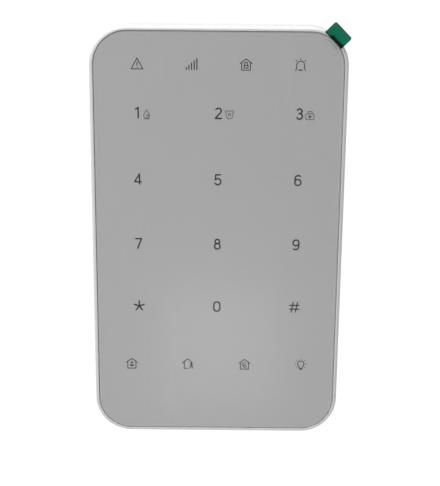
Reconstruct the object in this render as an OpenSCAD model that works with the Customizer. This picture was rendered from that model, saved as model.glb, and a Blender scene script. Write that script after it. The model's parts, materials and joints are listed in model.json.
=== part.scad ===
// Wall keypad for an alarm system: a slim case with one continuous touch panel,
// hung on a screwed wall bracket and run from four AA cells.
//
// Every piece is drawn on the bench: lying on its back, x to the right, y up the
// wall and z away from the wall. upright() then stands it on the wall, so that the
// origin is the middle of the bracket's back face, +Z is up and the front faces -Y.

/* [Case] */
// Width of the case
case_w = 93; // [92:1:100]
// Height of the case
case_h = 155; // [155:1:165]
// Depth from the wall to the front rim
case_d = 23.5; // [23.5:0.5:26]
// Corner radius of the case's outline
corner_r = 13.8; // [13:0.2:16]
// Thickness of the moulded side walls
wall = 1.8; // [1.6:0.1:2]
// Radius of the front edge of the rim
rim_edge_r = 1.1; // [0.6:0.1:1.2]
// Radius of the cover's rear edge
rear_edge_r = 1.6; // [0.8:0.1:1.7]

/* [Front panel] */
// Width of the rim that frames the panel
rim_w = 1.4; // [1.4:0.05:1.7]
// Gap between the rim and the panel's edge
panel_gap = 0.15; // [0.1:0.05:0.3]
// Thickness of the touch panel
panel_t = 2; // [1.5:0.1:2.2]
// How far the panel's face lies below the rim
panel_recess = 0.2; // [0.15:0.05:0.4]
// Edge radius of the panel's face
panel_edge_r = 0.2; // [0.1:0.05:0.5]

/* [Legend] */
// Distance between key columns
key_pitch_x = 29.3; // [27:0.1:31]
// Distance between key rows
key_pitch_y = 24.43; // [22:0.1:25]
// Height of the top key row above the middle of the case
key_top_y = 46.8; // [44:0.1:50]
// Height of a digit
digit_h = 4.2; // [3:0.1:6]
// Height of the row of status signs
status_y = 64.3; // [60:0.1:66]
// Distance between status signs
status_pitch = 19.45; // [16:0.1:22]
// Height of the row of mode signs
mode_y = -49.7; // [-54:0.1:-44]
// Distance between mode signs
mode_pitch = 21.6; // [18:0.1:24]

/* [Battery bay] */
// Radius of an AA cell
cell_r = 7.25; // [7.1:0.05:7.25]
// Length of an AA cell's can
cell_len = 49.5; // [48.5:0.1:49.5]
// Distance between neighbouring cells
cell_pitch = 15; // [15:0.1:15.2]
// Middle of the bay, measured up the wall
bay_y = -22; // [-24:1:-20]

/* [Wall bracket] */
// Distance between wall screws across
screw_span_x = 60; // [56:1:62]
// Distance between wall screws up the wall
screw_span_y = 112; // [110:1:114]
// Radius of a wall screw's hole
screw_hole_r = 2.1; // [1.8:0.1:2.4]
// How far the case slides up before it comes off its hooks
release_lift = 8; // [7:0.5:8]

/* [Tamper switch] */
// Travel of the plunger when the case leaves the bracket
tamper_travel = 1; // [0.6:0.1:1]
// Radius of the plunger's rod
plunger_r = 1.2; // [1:0.1:1.3]

/* [Lock screw] */
// Radius of the lock screw's thread
lock_r = 1.5; // [1.4:0.05:1.5]
// Length of the lock screw under its head
lock_len = 6; // [5:0.5:6]

/* [Transit film] */
// Thickness of the film
film_t = 0.1; // [0.05:0.01:0.1]
// Width of the pull tab
tab_w = 8.35; // [6:0.1:12]
// Length of the pull tab
tab_len = 5.3; // [3:0.1:8]
// Thickness of the folded tab
tab_t = 0.5; // [0.3:0.1:0.8]

/* [Hidden] */
$fn = 64;

cut = 0.6;          // how far a cutting shape runs past the face that it cuts
run_gap = 0.08;     // radial clearance of a rod in its guide
thread_gap = 0.05;  // radial clearance of a screw in its pilot hole
side_signs = [-1, 1];

// Layers, counted away from the wall
bracket_t = 2.4;
bracket_inset = 1;
pocket_floor = 1.4;
cover_back = 2.6;
cover_t = 1.8;
cover_floor = cover_back + cover_t;
split_d = 13.5;                         // front edge of the rear cover
split_gap = 0.2;                        // shadow line between cover and frame
frame_back = split_d + split_gap;
panel_front = case_d - panel_recess;
panel_back = panel_front - panel_t;
tape_t = 0.3;
shelf_front = panel_back - tape_t;
shelf_t = 1.6;
shelf_back = shelf_front - shelf_t;
touch_t = 1;
touch_back = shelf_front - touch_t;
board_t = 1.6;
board_back = 9;
board_front = board_back + board_t;

// Tongue of the rear cover, inside the frame's wall
tongue_gap = 0.15;
tongue_t = 1.05;
tongue_in = wall + tongue_gap + tongue_t;
tongue_bridge = 2;
tongue_top = 16;

// Outlines
rim_inner_r = 0.25;                     // radius of the rim's edge towards the panel
panel_inset = rim_w + panel_gap;
shelf_lap = 2.5;                        // how far the shelf reaches in under the panel
shelf_in = panel_inset + shelf_lap;
opening_w = case_w - 2 * shelf_in;
opening_h = case_h - 2 * shelf_in;
opening_r = corner_r - shelf_in;
touch_gap = 0.45;
tape_margin = 0.1;                      // from the panel's edge to the tape's
arc_x = case_w / 2 - corner_r;          // centre of the upper right corner
arc_y = case_h / 2 - corner_r;

// Case screws: four near the corners and two at the waist
corner_screw = [case_w / 2 - 9, case_h / 2 - 9];
waist_screw = [case_w / 2 - 7, 2];
screw_shank_r = 1.45;
screw_head_r = 2.75;
screw_head_t = 1.8;
screw_seat = 6;
screw_tip = 17.8;
screw_sink_r = 3.05;
screw_clear_r = 1.6;
screw_run_out = 0.8;                    // depth of the pilot hole past the screw's tip
cover_boss_r = 4.2;
frame_boss_r = 3;
boss_front = touch_back - 0.2;
web_back = tongue_top + 0.3;
web_t = 2.4;
corner_web = 7;
waist_web = 6;

// Cross recesses of the screws: length and width of a slot, and its depth
cross_slot = [3.2, 0.6];
cross_depth = 0.9;
lock_cross_depth = 1.1;
small_cross_slot = [2.2, 0.45];
small_cross_depth = 0.7;

// Battery bay
cell_count = 4;
cell_d = 10.3;
bay_w = cell_pitch * (cell_count - 1) + 2 * cell_r + 1;
bay_h = 57.5;
bay_wall = 1.5;
bay_ceiling = 17.8;
bay_front = 19;
bay_top = bay_y + bay_h / 2;
bay_bottom = bay_y - bay_h / 2;
nub_len = 1;
nub_r = 2.75;
plate_t = 0.4;
plate_w = 11;
nub_gap = 0.05;
can_low = bay_bottom + (bay_h - nub_len - cell_len - plate_t - nub_gap);
tail_w = 3;
tail_end = 14;
tail_gap = 0.2;
sleeve_t = 0.15;
sleeve_inset = 0.4;                     // bare strip of the can at each end
spring_wire_r = 0.3;
spring_r = [3.8, 2.2];                  // at the plate and at the cell
spring_turns = 3.5;
rib_rows = [-18, 0, 18];                // ribs that part the cells, from the bay's middle
rib_size = [1.6, 9];
rib_h = 3;

// Main board and what it carries
board_w = 70;
board_bottom = 12;
board_top = 63;
board_mid = (board_bottom + board_top) / 2;
standoff = [31, 16, 59];                // distance from the middle line, lower and upper height
standoff_r = 2.6;
standoff_floor = cover_floor + 0.6;
board_r = 2;
board_screw_r = 1;
board_screw_gap = 0.15;
board_screw_tip = standoff_floor + 0.2;
board_head_r = 1.9;
board_head_t = 1.3;
tamper_at = [12, 36];
pair_at = [24, 36];

// Chips: middle, then width, height and thickness
chips = [
    [[20, 52], [9, 9, 1.2]],
    [[20, 39], [6, 5, 1]],
    [[-18, 24], [5, 5, 0.9]],
    [[-18, 34], [4, 3, 0.9]]
];

// Cans, antenna, capacitors and buzzer
can_corner_r = 0.6;
crystal_at = [9.5, 52];
crystal_size = [3.2, 5, 1.1];
radio_at = [-18, 48];
radio_size = [18, 13, 2.6];
radio_holes = [[-6, -2, 2, 6], [-3, 3]];
radio_hole_r = 0.7;
radio_hole_depth = 0.4;
antenna_at = [-17, 57];
antenna_size = [34, 5, 0.4];
antenna_lift = 4.4;
antenna_legs = [0, 9];                  // from the antenna's left end
antenna_leg = [1.5, 0.4];
capacitor_cans = [[[-28, 25], 3.15, 6.4], [[-28, 34], 2.5, 5.4]];
capacitor_base = [0.4, 0.6];            // margin round the can, and thickness
buzzer_at = [24, 24];
buzzer_r = 6;
buzzer_h = 5.5;
buzzer_port_r = 1;
buzzer_port_depth = 1.5;
sound_slot = [10, 1.2];
sound_slots = 5;
sound_pitch = 2.5;
sound_low = buzzer_at.y - 7;            // middle of the lowest slot

// Lights on the touch board: body, then the lens that stands in the board's hole
led_size = [3.2, 1.6, 0.8];
led_lens = [0.9, 0.6];                  // radius and height
light_hole_r = 1.1;

// Ribbon between the boards
ribbon_w = 14;
ribbon_t = 0.3;
connector_t = 2;
connector_side = 1;                     // how much wider than the ribbon, on each side
connector_end = 34;
connector_len = 4;
ribbon_bend_y = 44;
ribbon_low = board_front + connector_t / 2;
ribbon_high = touch_back - connector_t / 2;

// Label on the cover, and the bracket's pockets behind the bay and the label
label_at = [-16, 32];
label_size = [26, 30];
label_r = 1.5;
label_t = 0.1;
pocket_margin = 1;
pocket_r = 3;

// Hooks of the bracket and the cover's slots for them
hook_x = 22;
hook_rows = [-62, 67];
hook_w = 6;
hook_stem = 3;
hook_lip = 3.5;
hook_reach = 6;
hook_face_gap = 0.2;
hook_lip_back = cover_floor + hook_face_gap;
hook_side_gap = 0.5;
hook_rest_gap = 0.1;
hook_low_gap = 0.3;

// Lock ear of the bracket and the cover's pocket for it
ear_w = 10;
ear_t = 2;
ear_top = -69.5;
ear_reach = 10.5;
ear_round = 2;
lock_d = 6.7;
insert_r = 2.1;
insert_len = 5.5;
ear_gap = 0.2;                          // between the ear and the insert's mouth
insert_mouth = ear_top + ear_gap;
lock_head_r = 2.6;
lock_head_t = 2;
lock_tip = ear_top + ear_gap / 2;
lock_seat = lock_tip - lock_len;
washer_t = 0.5;
washer_r = 2.9;
pocket_w = 12.4;
pocket_depth = 11.5;
pocket_wall = 1.2;
lock_block_top = -62.5;

// Tamper switch
plunger_gap = 0.05;
plunger_tip = bracket_t + plunger_gap;
plunger_dome = plunger_tip + plunger_r;
tamper_back = 4.7;
tamper_size = 8;
tamper_cavity_r = 2.2;
tamper_lip = 0.5;
tamper_roof = 8.6;
tamper_hole_r = 1.6;
collar_r = 1.9;
collar_t = 0.5;
collar_reserve = 0.4;                   // travel left when the plunger is right out
collar_back = tamper_back + tamper_lip + tamper_travel + collar_reserve;
tamper_wire_r = 0.12;
tamper_coil_r = 1.6;
tamper_turns = 3;
ramp_w = 5;
ramp_lead = 0.5;                        // level part of the ramp's foot under the plunger
ramp_start = tamper_at.y - ramp_lead;
ramp_len = release_lift + 2.5;
break_strip = [12, 26];                 // strip that breaks off the bracket, width and height
break_slit = 1.2;
break_neck = [3, 1.2];                  // bridges across the slit, width and height
break_neck_at = [7, 5];                 // aside from the strip's middle, and above its foot
tamper_screw_at = [tamper_at.x, tamper_at.y - 8];

// Pairing switch
pair_size = 6;
pair_back = 5.8;
pair_cap_r = 1.7;
pair_cap_back = 4.9;
pair_cap_front = 7.5;
pair_cavity_front = 8.3;
pair_cap_edge = 0.3;                    // step round the cap's face
pair_hole_r = 2.2;

// Transit film
film_margin = 0.55;                     // strip of panel left bare round the film
film_inset = panel_inset + film_margin;
film_back = case_d - film_t;
film_ear_w = 6;
film_ear_t = 0.1;
film_ear_in = 9.8;                      // from the corner's centre, along the diagonal
film_ear_out = 14;
film_root = 1;                          // part of the ear that joins the film
tab_reach = 14.72;
tab_shift = 1.19;
tab_corner_r = 0.6;

// Print on the panel
print_t = 0.04;
wedge_step = 60;                        // largest angle between the rays that bound an arc
digit_ref = 4.2;                        // the digits' strokes are drawn for this height
digit_line = 0.54;
sign_line = 0.32;
signal_line = 0.42;
hint_line = 0.24;
hint_places = [[-25.9, 46.3], [4, 46.4], [33, 46.3]];
key_rows = 4;
key_cols = 3;

// ---------------------------------------------------------------- placing

module upright() { rotate([90, 0, 0]) children(); }

module at(p) { translate([p.x, p.y, 0]) children(); }

module between(z0, z1) { translate([0, 0, z0]) linear_extrude(z1 - z0) children(); }

module four_ways(x, y) {
    for (sx = side_signs, sy = side_signs) translate([sx * x, sy * y, 0]) children();
}

module case_screw_places() {
    four_ways(corner_screw.x, corner_screw.y) children();
    for (sx = side_signs) translate([sx * waist_screw.x, waist_screw.y, 0]) children();
}

module standoff_places() {
    for (sx = side_signs, y = [standoff[1], standoff[2]])
        translate([sx * standoff[0], y, 0]) children();
}

module hook_places() {
    for (sx = side_signs, y = hook_rows) translate([sx * hook_x, y, 0]) children();
}

// Outline of a cross recess, from the length and width of its slots
module cross(slot) { for (a = [0, 90]) rotate(a) square(slot, center = true); }

function cell_x(i) = (i - (cell_count - 1) / 2) * cell_pitch;
function key_x(col) = (col - 1) * key_pitch_x;
function key_y(row) = key_top_y - row * key_pitch_y;
function quad_x(i, pitch) = (i - 1.5) * pitch;

module light_places() {
    for (row = [0 : key_rows - 1], col = [0 : key_cols - 1])
        translate([key_x(col), key_y(row), 0]) children();
    for (i = [0 : 3]) {
        translate([quad_x(i, status_pitch), status_y, 0]) children();
        translate([quad_x(i, mode_pitch), mode_y, 0]) children();
    }
}

// ---------------------------------------------------------------- outlines

module rounded(w, h, r) {
    square([w - 2 * r, h], center = true);
    square([w, h - 2 * r], center = true);
    four_ways(w / 2 - r, h / 2 - r) circle(r);
}

module inset_outline(inset) {
    rounded(case_w - 2 * inset, case_h - 2 * inset, corner_r - inset);
}

// Sweeps a profile round a rounded rectangle. In the profile, x is 0 on the outline
// and negative inside it, and y is the distance from the wall.
module sweep_round(w, h, r) {
    spans = [[w, h], [h, w], [w, h], [h, w]];
    for (i = [0 : 3]) rotate(90 * i) {
        translate([spans[i].x / 2 - r, spans[i].y / 2 - r, 0])
            rotate_extrude(angle = 90) translate([r, 0]) children();
        translate([spans[i].x / 2, spans[i].y / 2 - r, 0])
            rotate([90, 0, 0]) linear_extrude(spans[i].y - 2 * r) children();
    }
}

// What is cut off a convex corner to round it, for a corner that points to +x +y
module corner_waste(r) {
    difference() {
        square(r + cut);
        circle(r);
    }
}

module strip(x0, x1, y0, y1) { translate([x0, y0]) square([x1 - x0, y1 - y0]); }

// ---------------------------------------------------------------- strokes

module bar(p, q, t) {
    run = q - p;
    translate((p + q) / 2) rotate(atan2(run.y, run.x)) square([norm(run), t], center = true);
}

module dot(p, r) { translate(p) circle(r, $fn = 32); }

module path(points, t) {
    for (i = [1 : len(points) - 1]) {
        bar(points[i - 1], points[i], t);
        dot(points[i], t / 2);
    }
    dot(points[0], t / 2);
}

module ring(c, r, t) {
    translate(c) difference() {
        circle(r + t / 2);
        circle(r - t / 2);
    }
}

module arc(c, r, a0, a1, t) {
    steps = ceil((a1 - a0) / wedge_step);
    far = 2 * (r + t);
    intersection() {
        ring(c, r, t);
        translate(c) polygon([
            [0, 0],
            for (i = [0 : steps]) let (a = a0 + (a1 - a0) * i / steps) far * [cos(a), sin(a)]
        ]);
    }
}

module figure_0() {
    for (s = side_signs) {
        arc([0, s * 0.72], 1.13, s > 0 ? 0 : 180, s > 0 ? 180 : 360, digit_line);
        bar([s * 1.13, -0.72], [s * 1.13, 0.72], digit_line);
    }
}

module figure_1() {
    bar([0.35, -2.1], [0.35, 2.1], digit_line);
    bar([0.45, 1.95], [-0.75, 1.1], digit_line * 0.9);
}

module figure_2() {
    arc([0, 0.85], 1, -25, 165, digit_line);
    bar([0.96, 0.52], [-1.02, -1.72], digit_line);
    bar([-1.33, -1.85], [1.33, -1.85], digit_line);
}

module figure_3() {
    arc([-0.05, 0.97], 0.88, -85, 165, digit_line);
    arc([-0.05, -0.83], 1.02, -165, 88, digit_line);
    bar([-0.5, 0.14], [0.05, 0.14], digit_line * 0.9);
}

module figure_4() {
    bar([0.6, -2.1], [0.6, 2.1], digit_line);
    bar([-1.4, -1], [1.4, -1], digit_line);
    path([[0.55, 1.85], [-1.2, -0.95]], digit_line * 0.9);
}

module figure_5() {
    bar([-0.95, 1.85], [1.15, 1.85], digit_line);
    bar([-0.75, 1.95], [-1.02, -0.15], digit_line * 0.95);
    arc([-0.05, -0.72], 1.13, -160, 145, digit_line);
}

module figure_6() {
    ring([0.03, -0.75], 1.1, digit_line);
    arc([0.13, 0.75], 1.1, 35, 180, digit_line);
    bar([-0.97, 0.78], [-1.07, -0.75], digit_line);
}

module figure_7() {
    bar([-1.3, 1.85], [1.3, 1.85], digit_line);
    bar([1.08, 1.9], [-0.4, -2.1], digit_line);
}

module figure_8() {
    ring([0, 1.02], 0.83, digit_line);
    ring([0, -0.82], 1.03, digit_line);
}

module figure_star() {
    for (i = [0 : 4]) rotate(90 + 72 * i) bar([0, 0], [2.15, 0], digit_line);
}

module figure_hash() {
    for (s = side_signs) {
        bar([s * 0.8 - 0.4, -2.1], [s * 0.8 + 0.4, 2.1], digit_line * 0.75);
        bar([-1.95, s * 0.75], [1.95, s * 0.75], digit_line * 0.75);
    }
}

// Figures in reading order, row by row
module figure(i) {
    if (i == 0) figure_1();
    if (i == 1) figure_2();
    if (i == 2) figure_3();
    if (i == 3) figure_4();
    if (i == 4) figure_5();
    if (i == 5) figure_6();
    if (i == 6) figure_7();
    if (i == 7) figure_8();
    if (i == 8) rotate(180) figure_6();
    if (i == 9) figure_star();
    if (i == 10) figure_0();
    if (i == 11) figure_hash();
}

module house_roof() { path([[-2.15, 0.4], [0, 2], [2.15, 0.4]], sign_line); }

module house() {
    house_roof();
    path([[-1.55, 0.7], [-1.55, -1.95], [1.55, -1.95], [1.55, 0.7]], sign_line);
}

module warning_sign() {
    path([[-2.1, -1.85], [2.1, -1.85], [0, 2], [-2.1, -1.85]], sign_line);
    bar([0, 0.8], [0, -0.75], sign_line);
    dot([0, -1.25], sign_line * 0.6);
}

module signal_sign() {
    for (i = [0 : 4]) bar([0.95 * (i - 2), -2], [0.95 * (i - 2), -1.05 + 0.8 * i], signal_line);
}

module home_lock_sign() {
    house();
    arc([0, 0.35], 0.52, 0, 180, sign_line);
    for (s = side_signs) bar([s * 0.52, 0.35], [s * 0.52, -0.3], sign_line);
    path([[-0.7, -0.3], [0.7, -0.3], [0.7, -1.2], [-0.7, -1.2], [-0.7, -0.3]], sign_line);
}

module beacon_sign() {
    arc([0, 0], 1.4, 0, 180, sign_line);
    for (s = side_signs) {
        path([[s * 1.4, 0], [s * 1.4, -1.2], [s * 1.75, -1.9]], sign_line);
        bar([s * 1.4, 1.4], [s * 1.8, 1.8], sign_line);
    }
    bar([-0.75, -1.75], [0.75, -1.75], sign_line * 1.3);
    bar([0, 1.8], [0, 2.4], sign_line);
}

module stay_sign() {
    house();
    dot([0, 0.4], 0.42);
    bar([-0.75, -0.7], [0.75, -0.7], 0.6);
}

module away_sign() {
    path([[-2.2, 0.4], [-0.2, 2], [0.8, 1.25]], sign_line);
    path([[-1.5, 0.7], [-1.5, -1.9], [-0.35, -1.9]], sign_line);
    dot([1.25, 0.55], 0.42);
    path([[1.2, 0.3], [1.15, -0.75], [0.55, -1.85]], sign_line);
    path([[1.15, -0.75], [1.9, -1.85]], sign_line);
    bar([0.45, -0.4], [2.1, -0.4], sign_line);
}

module disarm_sign() {
    house();
    arc([-0.05, -0.1], 0.7, 40, 250, sign_line);
    ring([0.15, -0.75], 0.5, sign_line);
}

module bulb_sign() {
    arc([0, 0.35], 1.2, -50, 230, sign_line);
    for (s = side_signs) bar([s * 0.8, -0.55], [s * 0.5, -1.35], sign_line);
    bar([-0.6, -1.65], [0.6, -1.65], 0.65);
    for (i = [0 : 6]) translate([0, 0.35]) rotate(-45 + 45 * i) bar([1.85, 0], [2.25, 0], sign_line);
}

module status_sign(i) {
    if (i == 0) warning_sign();
    if (i == 1) signal_sign();
    if (i == 2) home_lock_sign();
    if (i == 3) beacon_sign();
}

module mode_sign(i) {
    if (i == 0) stay_sign();
    if (i == 1) away_sign();
    if (i == 2) disarm_sign();
    if (i == 3) bulb_sign();
}

module fire_hint() {
    arc([0, -0.45], 1.1, 170, 370, hint_line);
    for (s = side_signs) bar([s * 1.08, -0.3], [0, 1.6], hint_line);
    ring([0.35, -0.55], 0.35, hint_line);
    bar([-1.1, -1.75], [1.1, -1.75], hint_line);
}

module guard_hint() {
    path([[-1.2, -0.35], [-1.2, 0.45], [-1.6, 1.05], [-1.05, 1.45], [0, 1.1],
          [1.05, 1.45], [1.6, 1.05], [1.2, 0.45], [1.2, -0.35]], hint_line);
    arc([0, -0.35], 1.2, 180, 360, hint_line);
    ring([0, 0], 0.42, hint_line);
}

module aid_hint() {
    ring_w = [1.6, 1.15];
    translate([0, -0.45]) difference() {
        rounded(2 * ring_w.x, 2 * ring_w.y, 0.5);
        rounded(2 * (ring_w.x - hint_line), 2 * (ring_w.y - hint_line), 0.5 - hint_line);
    }
    path([[-0.75, 0.75], [-0.75, 1.45], [0.75, 1.45], [0.75, 0.75]], hint_line);
    for (a = [0, 90]) translate([0, -0.45]) rotate(a) square([1.2, 0.45], center = true);
}

// ---------------------------------------------------------------- coils

// One turn of wire after another, from radius r0 at the foot to r1 at the top
module coil(r0, r1, height, turns, wire_r, per_turn = 14, sides = 7) {
    rings = ceil(turns * per_turn);
    points = [
        for (i = [0 : rings])
            let (a = 360 * turns * i / rings, f = i / rings, r = r0 + (r1 - r0) * f)
                for (j = [0 : sides - 1])
                    let (b = 360 * j / sides, rr = r + wire_r * cos(b))
                        [rr * cos(a), rr * sin(a), height * f + wire_r * sin(b)]
    ];
    skin = [
        for (i = [0 : rings - 1], j = [0 : sides - 1])
            let (k = (j + 1) % sides)
                [i * sides + j, i * sides + k, (i + 1) * sides + k, (i + 1) * sides + j]
    ];
    foot = [[for (j = [sides - 1 : -1 : 0]) j]];
    top = [[for (j = [0 : sides - 1]) rings * sides + j]];
    polyhedron(concat(points), concat(skin, foot, top));
}

// ---------------------------------------------------------------- wall bracket

module hook() {
    translate([-hook_w / 2, -hook_stem / 2, pocket_floor])
        cube([hook_w, hook_stem, hook_reach - pocket_floor]);
    translate([-hook_w / 2, -hook_stem / 2, hook_lip_back])
        cube([hook_w, hook_stem + hook_lip, hook_reach - hook_lip_back]);
}

module lock_ear() {
    translate([0, ear_top, 0]) rotate([90, 0, 0]) linear_extrude(ear_t) {
        translate([-ear_w / 2, pocket_floor]) square([ear_w, ear_reach - ear_round - pocket_floor]);
        strip(-ear_w / 2 + ear_round, ear_w / 2 - ear_round, pocket_floor, ear_reach);
        for (s = side_signs) translate([s * (ear_w / 2 - ear_round), ear_reach - ear_round]) circle(ear_round);
    }
}

module tamper_ramp() {
    drop = tamper_travel / release_lift;
    translate([tamper_at.x - ramp_w / 2, ramp_start, bracket_t])
        rotate([90, 0, 90]) linear_extrude(ramp_w)
            polygon([[0, 0], [ramp_len, -drop * ramp_len], [ramp_len, cut], [0, cut]]);
}

// Slit round three sides of the strip that breaks off with the tamper screw
module tamper_slit() {
    x0 = tamper_at.x - break_strip.x / 2;
    y0 = tamper_at.y - break_strip.y / 2;
    between(-cut, bracket_t + cut) difference() {
        strip(x0 - break_slit, x0 + break_strip.x + break_slit, y0 - break_slit, y0 + break_strip.y);
        strip(x0, x0 + break_strip.x, y0, y0 + break_strip.y + cut);
        for (s = side_signs)
            translate([tamper_at.x + s * break_neck_at.x - break_neck.x / 2, y0 + break_neck_at.y])
                square(break_neck);
    }
}

module wall_hole() {
    between(-cut, bracket_t + cut) circle(screw_hole_r);
    between(bracket_t / 2, bracket_t + cut) circle(2 * screw_hole_r);
}

module wall_bracket() {
    color("white") upright() {
        difference() {
            between(0, bracket_t) inset_outline(bracket_inset);
            translate([0, bay_y, 0]) between(pocket_floor, bracket_t + cut)
                rounded(bay_w + 2 * pocket_margin, bay_h + pocket_margin, pocket_r);
            at(label_at) between(pocket_floor, bracket_t + cut)
                rounded(label_size.x + 4 * pocket_margin, label_size.y + 4 * pocket_margin, pocket_r);
            four_ways(screw_span_x / 2, screw_span_y / 2) wall_hole();
            at(tamper_screw_at) wall_hole();
            tamper_slit();
            tamper_ramp();
        }
        hook_places() hook();
        difference() {
            lock_ear();
            translate([0, ear_top + cut, lock_d]) rotate([90, 0, 0]) cylinder(ear_t + 2 * cut, lock_r + run_gap, lock_r + run_gap);
        }
    }
}

module lock_screw() {
    color("silver") upright() translate([0, lock_tip, lock_d]) rotate([90, 0, 0]) difference() {
        union() {
            cylinder(lock_len, lock_r, lock_r);
            translate([0, 0, lock_len]) cylinder(lock_head_t, lock_head_r, lock_head_r);
        }
        between(lock_len + lock_head_t - lock_cross_depth, lock_len + lock_head_t + cut) cross(cross_slot);
    }
}

module lock_washer() {
    color("ivory") upright() translate([0, lock_seat + washer_t, lock_d]) rotate([90, 0, 0]) difference() {
        cylinder(washer_t, washer_r, washer_r);
        translate([0, 0, -cut]) cylinder(washer_t + 2 * cut, lock_r + thread_gap, lock_r + thread_gap);
    }
}

// ---------------------------------------------------------------- rear cover

module cover_profile() {
    difference() {
        union() {
            strip(-wall, 0, cover_back, split_d);
            strip(-tongue_in, -wall + cut, split_d - tongue_bridge, split_d);
            strip(-tongue_in, -tongue_in + tongue_t, split_d - tongue_bridge, tongue_top);
        }
        translate([-rear_edge_r, cover_back + rear_edge_r]) mirror([0, 1]) corner_waste(rear_edge_r);
    }
}

module cover_body() {
    sweep_round(case_w, case_h, corner_r) cover_profile();
    between(cover_back, cover_floor) inset_outline(rear_edge_r);
    translate([0, bay_y, 0]) between(cover_back, bay_front)
        square([bay_w + 2 * bay_wall, bay_h + 2 * bay_wall], center = true);
    case_screw_places() between(cover_floor - cut, split_d) circle(cover_boss_r);
    standoff_places() between(cover_floor - cut, board_back) circle(standoff_r);
    between(cover_back, pocket_depth + pocket_wall)
        strip(-pocket_w / 2 - pocket_wall, pocket_w / 2 + pocket_wall, -case_h / 2 + wall - cut, lock_block_top);
}

module hook_slot() {
    half = hook_w / 2 + hook_side_gap;
    between(cover_back - cut, cover_floor + cut)
        strip(-half, half, -hook_stem / 2 - release_lift - hook_low_gap, hook_stem / 2 + hook_rest_gap);
}

module lock_pocket() {
    between(cover_back - cut, pocket_depth)
        strip(-pocket_w / 2, pocket_w / 2, -case_h / 2 - cut, insert_mouth);
    translate([0, insert_mouth - cut, lock_d]) rotate([-90, 0, 0])
        cylinder(insert_len + cut, insert_r, insert_r);
}

module tail_slot(x) {
    translate([x - tail_w / 2 - tail_gap, bay_top - cut, board_front - tail_gap])
        cube([tail_w + 2 * tail_gap, bay_wall + 2 * cut, plate_t + 2 * tail_gap]);
}

module rear_cover() {
    color("whitesmoke") upright() {
        difference() {
            cover_body();
            translate([0, bay_y, 0]) between(cover_back - cut, bay_ceiling) square([bay_w, bay_h], center = true);
            case_screw_places() {
                between(cover_back - cut, screw_seat) circle(screw_sink_r);
                between(cover_back, split_d + cut) circle(screw_clear_r);
            }
            standoff_places() between(standoff_floor, board_back + cut) circle(board_screw_r + thread_gap);
            hook_places() hook_slot();
            lock_pocket();
            at(tamper_at) between(cover_back - cut, cover_floor + cut) circle(tamper_hole_r);
            at(pair_at) between(cover_back - cut, cover_floor + cut) circle(pair_hole_r);
            for (x = [cell_x(0), cell_x(cell_count - 1)]) tail_slot(x);
            for (i = [0 : sound_slots - 1]) translate([buzzer_at.x, sound_low + sound_pitch * i, 0])
                between(cover_back - cut, cover_floor + cut) square(sound_slot, center = true);
        }
        for (i = [0 : cell_count - 2], y = rib_rows)
            translate([(cell_x(i) + cell_x(i + 1)) / 2, bay_y + y, 0])
                between(bay_ceiling - rib_h, bay_ceiling + cut) square(rib_size, center = true);
    }
}

module lock_insert() {
    color("gold") upright() translate([0, insert_mouth, lock_d]) rotate([-90, 0, 0]) difference() {
        cylinder(insert_len, insert_r, insert_r);
        translate([0, 0, -cut]) cylinder(insert_len + 2 * cut, lock_r + run_gap, lock_r + run_gap);
    }
}

module rear_label() {
    color("lightgray") upright() at(label_at) between(cover_back - label_t, cover_back)
        rounded(label_size.x, label_size.y, label_r);
}

module case_screws() {
    color("silver") upright() case_screw_places() difference() {
        union() {
            between(screw_seat - screw_head_t, screw_seat) circle(screw_head_r);
            between(screw_seat, screw_tip) circle(screw_shank_r);
        }
        between(screw_seat - screw_head_t - cut, screw_seat - screw_head_t + cross_depth) cross(cross_slot);
    }
}

// ---------------------------------------------------------------- front frame and panel

module frame_profile() {
    difference() {
        union() {
            strip(-wall, 0, frame_back, shelf_front);
            strip(-shelf_in, -wall + cut, shelf_back, shelf_front);
            strip(-rim_w, 0, frame_back, case_d);
        }
        translate([-rim_edge_r, case_d - rim_edge_r]) corner_waste(rim_edge_r);
        translate([-rim_w + rim_inner_r, case_d - rim_inner_r]) mirror([1, 0]) corner_waste(rim_inner_r);
    }
}

module boss_web(length) { between(web_back, boss_front) strip(0, length, -web_t / 2, web_t / 2); }

module front_frame() {
    color("white") upright() difference() {
        union() {
            sweep_round(case_w, case_h, corner_r) frame_profile();
            case_screw_places() between(frame_back, boss_front) circle(frame_boss_r);
            for (sx = side_signs, sy = side_signs) translate([sx * corner_screw.x, sy * corner_screw.y, 0]) {
                rotate(sx > 0 ? 0 : 180) boss_web(corner_web);
                rotate(sy * 90) boss_web(corner_web);
            }
            for (sx = side_signs) translate([sx * waist_screw.x, waist_screw.y, 0])
                rotate(sx > 0 ? 0 : 180) boss_web(waist_web);
        }
        case_screw_places() between(frame_back - cut, screw_tip + screw_run_out) circle(screw_shank_r + thread_gap);
    }
}

module panel_adhesive() {
    color("dimgray") upright() between(shelf_front, panel_back) difference() {
        inset_outline(panel_inset + tape_margin);
        rounded(opening_w, opening_h, opening_r);
    }
}

module edge_round_profile() {
    intersection() {
        strip(-panel_edge_r, 0, panel_front - panel_edge_r, panel_front);
        translate([-panel_edge_r, panel_front - panel_edge_r]) circle(panel_edge_r);
    }
}

module front_panel() {
    color("darkgray") upright() {
        between(panel_back, panel_front - panel_edge_r) inset_outline(panel_inset);
        between(panel_back, panel_front) inset_outline(panel_inset + panel_edge_r);
        sweep_round(case_w - 2 * panel_inset, case_h - 2 * panel_inset, corner_r - panel_inset) edge_round_profile();
    }
}

module key_legend() {
    color("dimgray") upright() between(panel_front, panel_front + print_t) {
        for (row = [0 : key_rows - 1], col = [0 : key_cols - 1])
            translate([key_x(col), key_y(row)]) scale(digit_h / digit_ref) figure(row * key_cols + col);
        for (i = [0 : 3]) {
            translate([quad_x(i, status_pitch), status_y]) status_sign(i);
            translate([quad_x(i, mode_pitch), mode_y]) mode_sign(i);
        }
    }
}

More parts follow.
